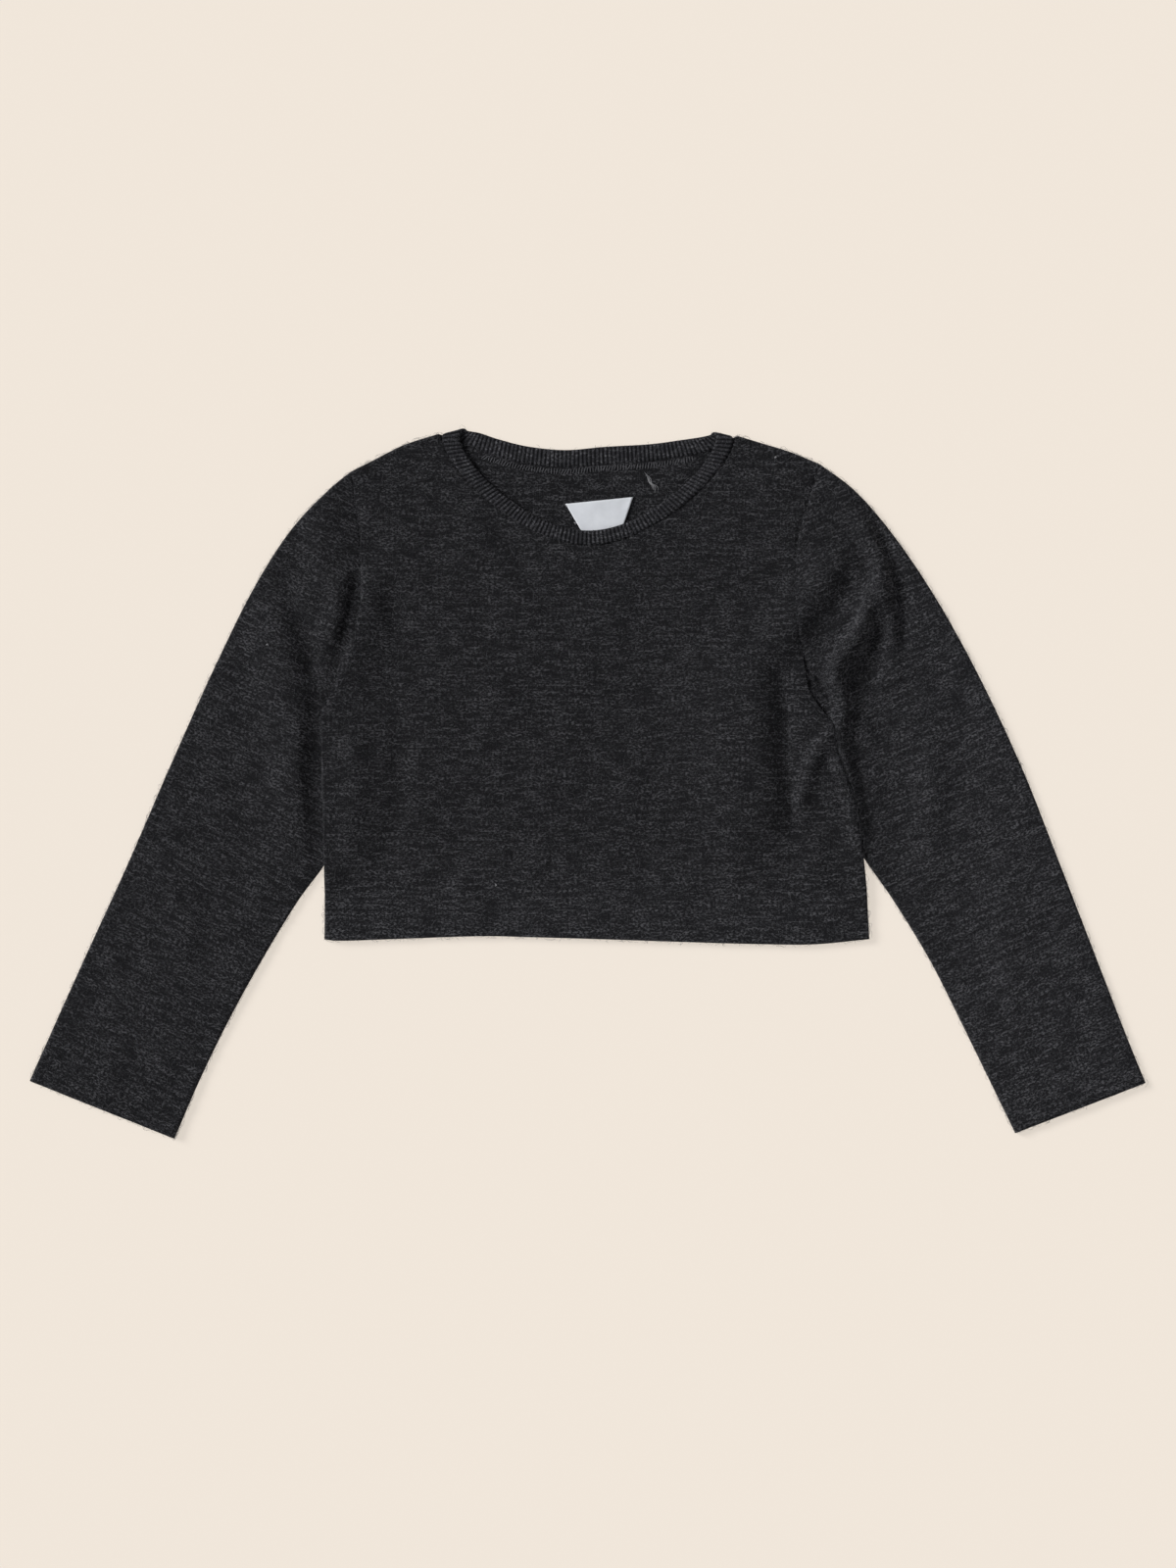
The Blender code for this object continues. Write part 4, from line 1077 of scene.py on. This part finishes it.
def lay_neckband():
    count = RIBS * RIB_STEPS
    seam, free = evenly_placed(band_route(), count)
    forward = np.roll(seam + free, -1, axis=0) - np.roll(seam + free, 1, axis=0)
    normal = np.cross(forward, free - seam)
    normal /= np.linalg.norm(normal, axis=1)[:, None]
    rib = rib_height(math.tau * (np.arange(count) / RIB_STEPS))
    face_up = smooth_step(-0.5, 0.5, normal[:, 2])
    ring = []
    wide = free - seam
    for share in np.linspace(1, 0, FACE_ROWS):  # the outer face, from the free edge to the seam
        round_edge = FACE_ROUND * (1 - math.sqrt(1 - (2 * share - 1) ** 6 * 0.98))
        height = rib * face_up - round_edge * (0.35 + 0.65 * face_up)
        ring.append(seam + wide * share + height[:, None] * normal)
    for share in np.linspace(0, 1, INNER_ROWS):  # and back along the inner face
        round_edge = INNER_ROUND * (2 * share - 1) ** 6
        depth = RIB_WALL + rib * (1 - face_up) * 0.9 - round_edge
        ring.append(seam + wide * share - depth[:, None] * normal)
    ring = np.stack(ring, axis=1)
    ring[..., 2] = np.maximum(ring[..., 2], 0)  # nothing reaches through the table
    passed = np.arange(count + 1) * (RIB_PITCH / RIB_STEPS)
    across = np.concatenate([np.linspace(9, 0, FACE_ROWS), np.linspace(-1, -10, INNER_ROWS + 1)])
    knit_uv = np.stack(np.meshgrid(passed, across, indexing="ij"), axis=-1)
    return cloth_object("neckband_cloth", ring, knit_uv, RIB, close_rows=True, close_columns=True)


neckband = lay_neckband()
report(neckband)

# %% [markdown]
# ## Label
#
# A folded piece of woven satin is tacked to the back at the top edge. It lies nearly flat,
# and its sides are cut straight, so a small bent grid with a wall is all it needs. Its face
# stays bare.

# %% Laying the label
LABEL_WIDE = 41.6
LABEL_NARROW = 16.8
LABEL_HEIGHT = 27.0
LABEL_WALL = 1.0
LABEL_TOP = Point(6.9, 173.7)
LABEL_TILT = math.radians(5.8)
LABEL_GRID = (24, 36)  # points down and across


def label_spot(share, out):
    """Place in plan of a point of the label: its share down, and its distance off the middle."""
    fall = -LABEL_HEIGHT * share
    x = LABEL_TOP.x + out * math.cos(LABEL_TILT) - fall * math.sin(LABEL_TILT)
    return x, LABEL_TOP.y + out * math.sin(LABEL_TILT) + fall * math.cos(LABEL_TILT)


def lay_label():
    rows = []
    spots = []
    for share in np.linspace(0, 1, LABEL_GRID[0]):
        half = (LABEL_WIDE + (LABEL_NARROW - LABEL_WIDE) * share) / 2
        out = np.linspace(-half, half, LABEL_GRID[1])
        x, y = label_spot(share, out)
        drawn_up = 0.18 * smooth_step(0.25, 0, share) * np.cos(out / 5.2)
        high = back_low(x, y) + KNIT + SEAM_GAP + drawn_up
        rows.append(np.column_stack([x, y, high]))
        spots.append(np.column_stack([out, np.full(len(out), -LABEL_HEIGHT * share)]))
    made = cloth_object("label_cloth", np.array(rows), np.array(spots), SATIN)
    give_wall(made, np.full(len(made.data.vertices), LABEL_WALL))
    return made


label = lay_label()
report(label)

# %% [markdown]
# ## Loose fibres
#
# Carded wool is hairy: curled fibres stand off the cloth, catch the light and blur its
# outline. A hair system would do it too, but it can't be handed over as a mesh. Here Geometry
# Nodes scatter a few kinds of thin curl over the faces that show, closer together where the
# cloth turns over at an edge, and then turn them into plain triangles.

# %% A few kinds of curl
FIBRE_RADIUS = 0.055  # mm
CURL_SPAN = 4.8
CURL_KINDS = 6


def tube(name, path, radii, look, sides=3):
    """A thin tube along a path in mm, with a radius for each of its points."""
    path = np.asarray(path, float)
    run = np.gradient(path, axis=0)
    run /= np.linalg.norm(run, axis=1)[:, None] + 1e-9
    aside = np.cross(run, (0.1, 0.2, 1.0))
    aside /= np.linalg.norm(aside, axis=1)[:, None]
    up = np.cross(aside, run)
    turn = np.linspace(0, math.tau, sides, endpoint=False)
    spread = aside[:, None] * np.cos(turn)[:, None] + up[:, None] * np.sin(turn)[:, None]
    rings = path[:, None] + spread * np.asarray(radii)[:, None, None]
    knit_uv = np.stack(np.meshgrid(np.arange(len(path)), np.arange(sides + 1), indexing="ij"), axis=-1)
    return cloth_object(name, rings[:, ::-1], knit_uv, look, close_columns=True)


def curl(number):
    """A fibre about 5 mm long, that leaves the cloth and comes back to it."""
    draw = np.random.default_rng(number)
    t = np.linspace(0, 1, 5)
    bend = draw.uniform(-1.6, 1.6)
    lean = draw.uniform(-0.6, 0.6)
    arch = draw.uniform(0.25, 0.8)
    lift = draw.uniform(-0.1, 0.5)
    path = np.column_stack([
        CURL_SPAN * (t - 0.5), bend * np.sin(np.pi * t) + lean * np.sin(math.tau * t),
        arch * np.sin(np.pi * t) + lift * t])
    return tube(f"curl_{number}", path, FIBRE_RADIUS * np.array([0.6, 1, 1, 0.9, 0.25]), FLUFF)


curls = bpy.data.collections.new("curls")
for number in range(CURL_KINDS):
    kind = curl(number)
    curls.objects.link(kind)
    bpy.context.scene.collection.objects.unlink(kind)

# %% Parts that both node trees use
def opened(name, inputs, output):
    """A Geometry Nodes tree with named inputs and one output: the tree and those inputs."""
    tree = bpy.data.node_groups.new(name, "GeometryNodeTree")
    tree.is_modifier = True
    for given, kind in inputs.items():
        tree.interface.new_socket(given, in_out="INPUT", socket_type="NodeSocket" + kind)
    tree.interface.new_socket(output, in_out="OUTPUT", socket_type="NodeSocketGeometry")
    return tree, add(tree, "NodeGroupInput").outputs


def as_mesh(tree, instances, look):
    """The end of a tree: its instances become a mesh with its look."""
    real = add(tree, "GeometryNodeRealizeInstances", {"Geometry": instances})
    dyed = add(tree, "GeometryNodeSetMaterial", {"Geometry": real.outputs[0], "Material": look})
    add(tree, "NodeGroupOutput", {0: dyed.outputs[0]})
    return tree


def above(tree, value, least):
    return add(tree, "FunctionNodeCompare", {0: value, 1: least}, operation="GREATER_THAN").outputs[0]


def both(tree, first, second):
    return add(tree, "FunctionNodeBooleanMath", {0: first, 1: second}).outputs[0]


def angles(tree, **parts):
    return add(tree, "ShaderNodeCombineXYZ", parts).outputs[0]


def turned(tree, rotation, low, top, seed):
    """A rotation, turned about its own axes by random angles between two vectors of them."""
    turn = add(tree, "FunctionNodeRandomValue", {0: low, 1: top, "Seed": seed}, data_type="FLOAT_VECTOR")
    made = add(tree, "FunctionNodeRotateRotation", {
        0: rotation, 1: turn.outputs[0]}, rotation_space="LOCAL")
    return made.outputs[0]


def random_size(tree, low, top, seed):
    return add(tree, "FunctionNodeRandomValue", {2: low, 3: top, "Seed": seed}).outputs[1]


def run_tree(made, tree, values):
    """Give an object a tree to run, with its inputs set by their names."""
    modifier = made.modifiers.new(tree.name, "NODES")
    modifier.node_group = tree
    for socket in tree.interface.items_tree:
        if socket.name in values:
            modifier[socket.identifier] = values[socket.name]


# %% Scattering them
LOOKS_DOWN = -0.35  # faces whose normal's height is below this have no fibres


def scatter_tree():
    """Instances of a collection's objects over the faces that look up or outwards."""
    tree, given = opened("loose fibres", {
        "Cloth": "Geometry", "Density": "Float", "Rim": "Float", "Lowest": "Float", "Near": "Float",
        "Tilt": "Float", "Seed": "Int", "Kinds": "Collection", "Look": "Material"}, "Fibres")
    normal = add(tree, "GeometryNodeInputNormal").outputs[0]
    facing = add(tree, "ShaderNodeSeparateXYZ", {"Vector": normal}).outputs["Z"]
    position = add(tree, "GeometryNodeInputPosition").outputs[0]
    place = add(tree, "ShaderNodeSeparateXYZ", {"Vector": position}).outputs
    high = above(tree, place["Z"], given["Lowest"])
    shown = both(tree, above(tree, facing, LOOKS_DOWN), high)
    shown = both(tree, shown, above(tree, place["Y"], given["Near"]))
    edge = add(tree, "ShaderNodeMapRange", {
        "Value": facing, "From Min": 0.9, "From Max": 0.5, "To Min": 1.0, "To Max": given["Rim"]})
    density = times(tree, given["Density"], edge.outputs["Result"])
    points = add(tree, "GeometryNodeDistributePointsOnFaces", {
        "Mesh": given["Cloth"], "Selection": shown, "Density": density, "Seed": given["Seed"]})
    kinds = add(tree, "GeometryNodeCollectionInfo", {
        "Collection": given["Kinds"], "Separate Children": True, "Reset Children": True})
    low = angles(tree, X=times(tree, given["Tilt"], -1.0), Y=-0.3)
    top = angles(tree, X=given["Tilt"], Y=0.3, Z=math.tau)
    placed = add(tree, "GeometryNodeInstanceOnPoints", {
        "Points": points.outputs["Points"], "Instance": kinds.outputs[0], "Pick Instance": True,
        "Rotation": turned(tree, points.outputs["Rotation"], low, top, given["Seed"]),
        "Scale": random_size(tree, 0.45, 1.45, given["Seed"])})
    return as_mesh(tree, placed.outputs[0], given["Look"])


FIBRES = scatter_tree()
print("the tree of loose fibres has", len(FIBRES.nodes), "nodes")


def lay_on_table(made, points):
    """Lift each fibre, made of that many points, that would reach through the table."""
    places = np.empty(len(made.data.vertices) * 3)
    made.data.vertices.foreach_get("co", places)
    fibres = places.reshape(-1, points, 3)
    fibres[..., 2] -= np.minimum(fibres[..., 2].min(axis=1), 0)[:, None]
    made.data.vertices.foreach_set("co", fibres.ravel())
    made.data.update()


def scattered(name, cloth, density, rim, seed, lowest=1.3, near=-9.0, tilt=0.35):
    """Loose fibres on a piece of cloth, density to a square centimetre and rim times that at rims.

    None grow below lowest, in mm, nor nearer than near, in m of the scene's Y.
    """
    made = into_scene(bpy.data.objects.new(name, cloth.data.copy()))
    run_tree(made, FIBRES, {
        "Density": density * 1e4, "Rim": rim, "Lowest": lowest * MM, "Near": near, "Tilt": tilt,
        "Seed": seed, "Kinds": curls, "Look": FLUFF})
    settle(made)
    lay_on_table(made, len(curls.objects[0].data.vertices))
    return made


fluff = [
    (scattered("front_fluff", front, 5.0, 12.0, 11), "front"),
    (scattered("back_fluff", back, 5.0, 8.0, 12, lowest=0.7, near=0.13), "back"),
    (scattered("sleeve_left_fluff", sleeves[0], 5.0, 9.0, 13), "sleeve_left"),
    (scattered("sleeve_right_fluff", sleeves[1], 5.0, 9.0, 14), "sleeve_right"),
    (scattered("neckband_fluff", neckband, 7.0, 1.5, 15, lowest=0.9), "neckband"),
]
for piece, _ in fluff:
    report(piece)

# %% [markdown]
# ## Threads and lint
#
# The seam under the back of the neckband is overlocked: short slanted stitches of paler
# thread lie side by side across its raw edge. They repeat along a path, so Geometry Nodes
# place them. A wisp of white fibres, a pulled thread and some lint lie on the cloth too, and
# these few are thin tubes through places listed one by one.

# %% Overlocked edge under the band
OVERLOCK_SPACING = 1.7  # mm
OVERLOCK_LENGTH = 3.4
OVERLOCK_BELOW = 2.6  # from the band's seam to the middle of the stitches
OVERLOCK_ENDS = (-64, 64)
OVERLOCK_RISE = 0.1  # mm, of the stitches' ends over the cloth


def row_tree():
    """Instances of one stitch along a path, each turned along it and a little aside."""
    tree, given = opened("row of stitches", {
        "Path": "Geometry", "Spacing": "Float", "Uneven": "Float", "Seed": "Int", "Stitch": "Object",
        "Look": "Material"}, "Stitches")
    spaced = add(tree, "GeometryNodeResampleCurve", {
        "Curve": given["Path"], "Length": given["Spacing"]}, mode="LENGTH")
    run = add(tree, "GeometryNodeInputTangent")
    facing = add(tree, "FunctionNodeAlignRotationToVector", {
        "Vector": run.outputs[0]}, axis="X", pivot_axis="Z")
    low = angles(tree, Z=times(tree, given["Uneven"], -1.0))
    top = angles(tree, Z=given["Uneven"])
    stitch = add(tree, "GeometryNodeObjectInfo", {"Object": given["Stitch"]})
    placed = add(tree, "GeometryNodeInstanceOnPoints", {
        "Points": spaced.outputs[0], "Instance": stitch.outputs["Geometry"],
        "Rotation": turned(tree, facing.outputs[0], low, top, given["Seed"]),
        "Scale": random_size(tree, 0.8, 1.2, given["Seed"])})
    return as_mesh(tree, placed.outputs[0], given["Look"])


def poly_line(name, spots):
    """A curve object through places in mm."""
    path = bpy.data.curves.new(name, "CURVE")
    path.dimensions = "3D"
    line = path.splines.new("POLY")
    line.points.add(len(spots) - 1)
    for point, spot in zip(line.points, spots * MM):
        point.co = (*spot, 1)
    return into_scene(bpy.data.objects.new(name, path))


def overlock():
    """The row of stitches across the raw edge of the neck seam, where the opening shows it."""
    seam = back_seam()
    x = np.linspace(*OVERLOCK_ENDS, 60)
    order = np.argsort(seam[:, 0])
    y = np.interp(x, seam[order, 0], seam[order, 1]) - OVERLOCK_BELOW
    high = back_low(x, y) + KNIT + OVERLOCK_RISE
    line = poly_line("overlock_row", np.column_stack([x, y, high]))
    half = OVERLOCK_LENGTH / 2
    bent = [(-0.5, -half, 0), (-0.2, -0.4 * half, 0.3), (0.2, 0.4 * half, 0.3), (0.5, half, 0)]
    stitch = tube("stitch", bent, [0.1, 0.17, 0.17, 0.1], OVERLOCK_THREAD, sides=4)
    bpy.context.scene.collection.objects.unlink(stitch)
    run_tree(line, row_tree(), {
        "Spacing": OVERLOCK_SPACING * MM, "Uneven": 0.35, "Seed": 5, "Stitch": stitch,
        "Look": OVERLOCK_THREAD})
    bpy.context.view_layer.update()
    graph = bpy.context.evaluated_depsgraph_get()
    mesh = bpy.data.meshes.new_from_object(line.evaluated_get(graph))
    bpy.data.objects.remove(line)
    return into_scene(bpy.data.objects.new("overlock_row", mesh))


overlock_row = overlock()
report(overlock_row)

# %% Where single threads lie
WISP = (Point(34.5, 191.5), Point(44.0, 177.0))  # white fibres caught inside the neck
WISP_STRANDS = 7
WISP_RADIUS = 0.11  # mm
PULLED = [Point(-64.5, 1.8), Point(-60, 4.8), Point(-54, 5.4), Point(-48, 6.6), Point(-43.5, 7.2)]
PULLED_RADIUS = 0.22
LINT_SPOTS = [
    Point(-196.2, 84.6), Point(-57, -61.8), Point(115.2, 199.5), Point(-13.8, 170.4), Point(-8.4, 159.6),
]
LINT_RADIUS = 0.42
LINT_CURL = 0.75
LINT_LIFT = 0.4  # mm, that a bit of lint stands off the cloth
OPENING = Point(60, 150)  # nearer to the middle than this and above it, the back shows
ON_LEFT_SLEEVE = -164  # left of this, the sleeve lies open
print(len(LINT_SPOTS), "bits of lint and a wisp of", WISP_STRANDS, "strands")

# %% Single threads
def joined(name, pieces):
    """One object with the meshes of several."""
    mesh = bmesh.new()
    for piece in pieces:
        mesh.from_mesh(piece.data)
    data = bpy.data.meshes.new(name)
    mesh.to_mesh(data)
    mesh.free()
    data.materials.append(pieces[0].data.materials[0])
    for piece in pieces:
        bpy.data.objects.remove(piece)
    return into_scene(bpy.data.objects.new(name, data))


def surface(x, y):
    """Upper face of the piece that lies on top at places in plan."""
    flat = np.zeros(np.shape(x))
    if y[0] > OPENING.y and abs(x[0]) < OPENING.x:
        return back_low(x, y) + KNIT
    if x[0] < ON_LEFT_SLEEVE:
        return sleeve_high(LEFT, x, y, flat)
    return front_high(x, y, flat)


def strand(spots, radius, look, lift=0.0):
    """A thin thread on the cloth or a little above it, thinner at its ends."""
    path = smooth_path(spots, 6)
    arch = np.sin(np.pi * np.linspace(0, 1, len(path)))
    high = surface(path[:, 0], path[:, 1]) + radius + lift + 0.25 * arch
    return tube("strand", np.column_stack([path, high]), radius * (0.35 + 0.65 * arch), look)


def wisp():
    """Fine fibres that wander along one line."""
    draw = np.random.default_rng(40)
    first, last = (np.array(end) for end in WISP)
    aside = np.array([first[1] - last[1], last[0] - first[0]]) / np.linalg.norm(last - first)
    strands = []
    for _ in range(WISP_STRANDS):
        t = np.linspace(draw.uniform(0, 0.4), draw.uniform(0.6, 1), 5)[:, None]
        wander = draw.uniform(-1, 1, (5, 1)) * (0.4 + 2.2 * t)
        strands.append(strand(first + (last - first) * t + aside * wander, WISP_RADIUS, LINT))
    return strands


def lint_bits():
    """Short curled bits of lint."""
    draw = np.random.default_rng(41)
    bits = []
    for spot in LINT_SPOTS:
        turn = draw.uniform(0, math.tau) + np.array([0, 1.4, 2.9])
        ring = np.column_stack([np.cos(turn), np.sin(turn)])
        bits.append(strand(np.array(spot) + LINT_CURL * ring, LINT_RADIUS, LINT, LINT_LIFT))
    return bits


white_lint = joined("white_lint", wisp() + lint_bits())
pulled_thread = joined("pulled_thread", [strand(PULLED, PULLED_RADIUS, PULLED_YARN)])
loose = [white_lint, pulled_thread]
for piece in loose:
    report(piece)

# %% [markdown]
# ## The table, light and camera
#
# The sweater lies on a sheet of opal plastic that is lit from behind, photographed from
# straight above. A lit sheet takes hardly any shadow, so the ground is as even as in the studio.
# A large softbox stands low at the upper left, so that every fold has a dark side. Weak
# reflectors face it from the right and from the near side. All three are sun lamps, because
# those light the whole table alike. The camera is far off, so that sleeves and body are seen
# at the same scale.

# %% The lit sheet
SHEET_TONE = colour("F0E6DA")
SHEET_GLOW = 0.75
SHEET_HALF = 6.0  # m, far past the camera's view


def lit_sheet(name):
    """An opal sheet lit from behind: it gives most of its light itself, so shadows stay faint."""
    made, _, shader = started(name, 0.8, 0.0)
    shader.inputs["Base Color"].default_value = [0.3 * part for part in SHEET_TONE[:3]] + [1]
    shader.inputs["Emission Color"].default_value = SHEET_TONE
    shader.inputs["Emission Strength"].default_value = SHEET_GLOW
    return made


sheet_corners = [(x * SHEET_HALF, y * SHEET_HALF, 0) for x, y in ((-1, -1), (1, -1), (1, 1), (-1, 1))]
sheet_mesh = bpy.data.meshes.new("card")
sheet_mesh.from_pydata(sheet_corners, [], [(0, 1, 2, 3)])
sheet_mesh.materials.append(lit_sheet("opal sheet"))
floor = into_scene(bpy.data.objects.new("card", sheet_mesh))
print("the sheet is", 2 * SHEET_HALF, "m wide")

# %% Lights
ROOM_LIGHT = 0.24


def sun_lamp(name, place, strength, degrees):
    """A lamp so far off that it lights all of the table alike, from a disc of that angle."""
    data = bpy.data.lights.new(name, "SUN")
    data.energy = strength
    data.angle = math.radians(degrees)
    lamp = into_scene(bpy.data.objects.new(name, data))
    lamp.location = place
    lamp.rotation_euler = (-Vector(place)).to_track_quat("-Z", "Y").to_euler()
    return lamp


lamps = [
    sun_lamp("softbox", (-0.78, 0.36, 0.52), strength=3.45, degrees=22),
    sun_lamp("reflector", (0.7, -0.5, 0.8), strength=0.15, degrees=60),
    sun_lamp("near reflector", (-0.1, -0.9, 0.4), strength=0.25, degrees=40),
]
world = bpy.data.worlds.new("room")
bpy.context.scene.world = world
world.use_nodes = True
room = world.node_tree.nodes["Background"].inputs
room["Color"].default_value = colour("F2F2F4")
room["Strength"].default_value = ROOM_LIGHT
bpy.context.scene.view_settings.view_transform = "Standard"
print("the lamps' strengths are", [round(lamp.data.energy, 2) for lamp in lamps])

# %% Camera
PHOTO_HEIGHT = 0.96  # m of the table that the photo's height shows
camera_data = bpy.data.cameras.new("camera")
camera_data.sensor_fit = "VERTICAL"
camera_data.sensor_height = 36
camera_data.lens = 85
camera = into_scene(bpy.data.objects.new("camera", camera_data))
camera.location = (0, 0, PHOTO_HEIGHT * camera_data.lens / camera_data.sensor_height + TOP * MM)
bpy.context.scene.camera = camera
print("camera at", round(camera.location.z, 3), "m")

# %% [markdown]
# ## Attaching the pieces
#
# Each piece moves with the root body, and each cloth piece hides the solid that it stands for.
# For each cloth piece a print shows its surface as a share of the size it was cut to, measured
# along the laid-out shapes.

# %% Attaching the pieces and hiding the solids
for piece, node in ((front, "front"), (back, "back"), (sleeves[0], "sleeve_left"),
                    (sleeves[1], "sleeve_right"), (neckband, "neckband"), (label, "label")):
    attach(piece, "root")
    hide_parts(node)
for piece, node in fluff:
    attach(piece, "root")
for piece in (overlock_row, *loose):
    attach(piece, "root")
print(len(fluff) + 1 + len(loose), "pieces of fibre and thread ride with the cloth")

# %% The cut of each piece, in metres
def face_area(made):
    """Half a closed mesh's surface, which is the area of cloth in it."""
    return sum(face.area for face in made.data.polygons) / 2


for piece, flat in ((front, (0.335, 0.312)), (back, (0.335, 0.312)), (neckband, (0.0108, 0.372)),
                    (label, (0.0416, 0.027)), (sleeves[0], (0.27, 0.45)), (sleeves[1], (0.27, 0.45))):
    share = face_area(piece) / (flat[0] * flat[1])
    print(piece.name, "surface is", round(share, 2), "of its flat rectangle")
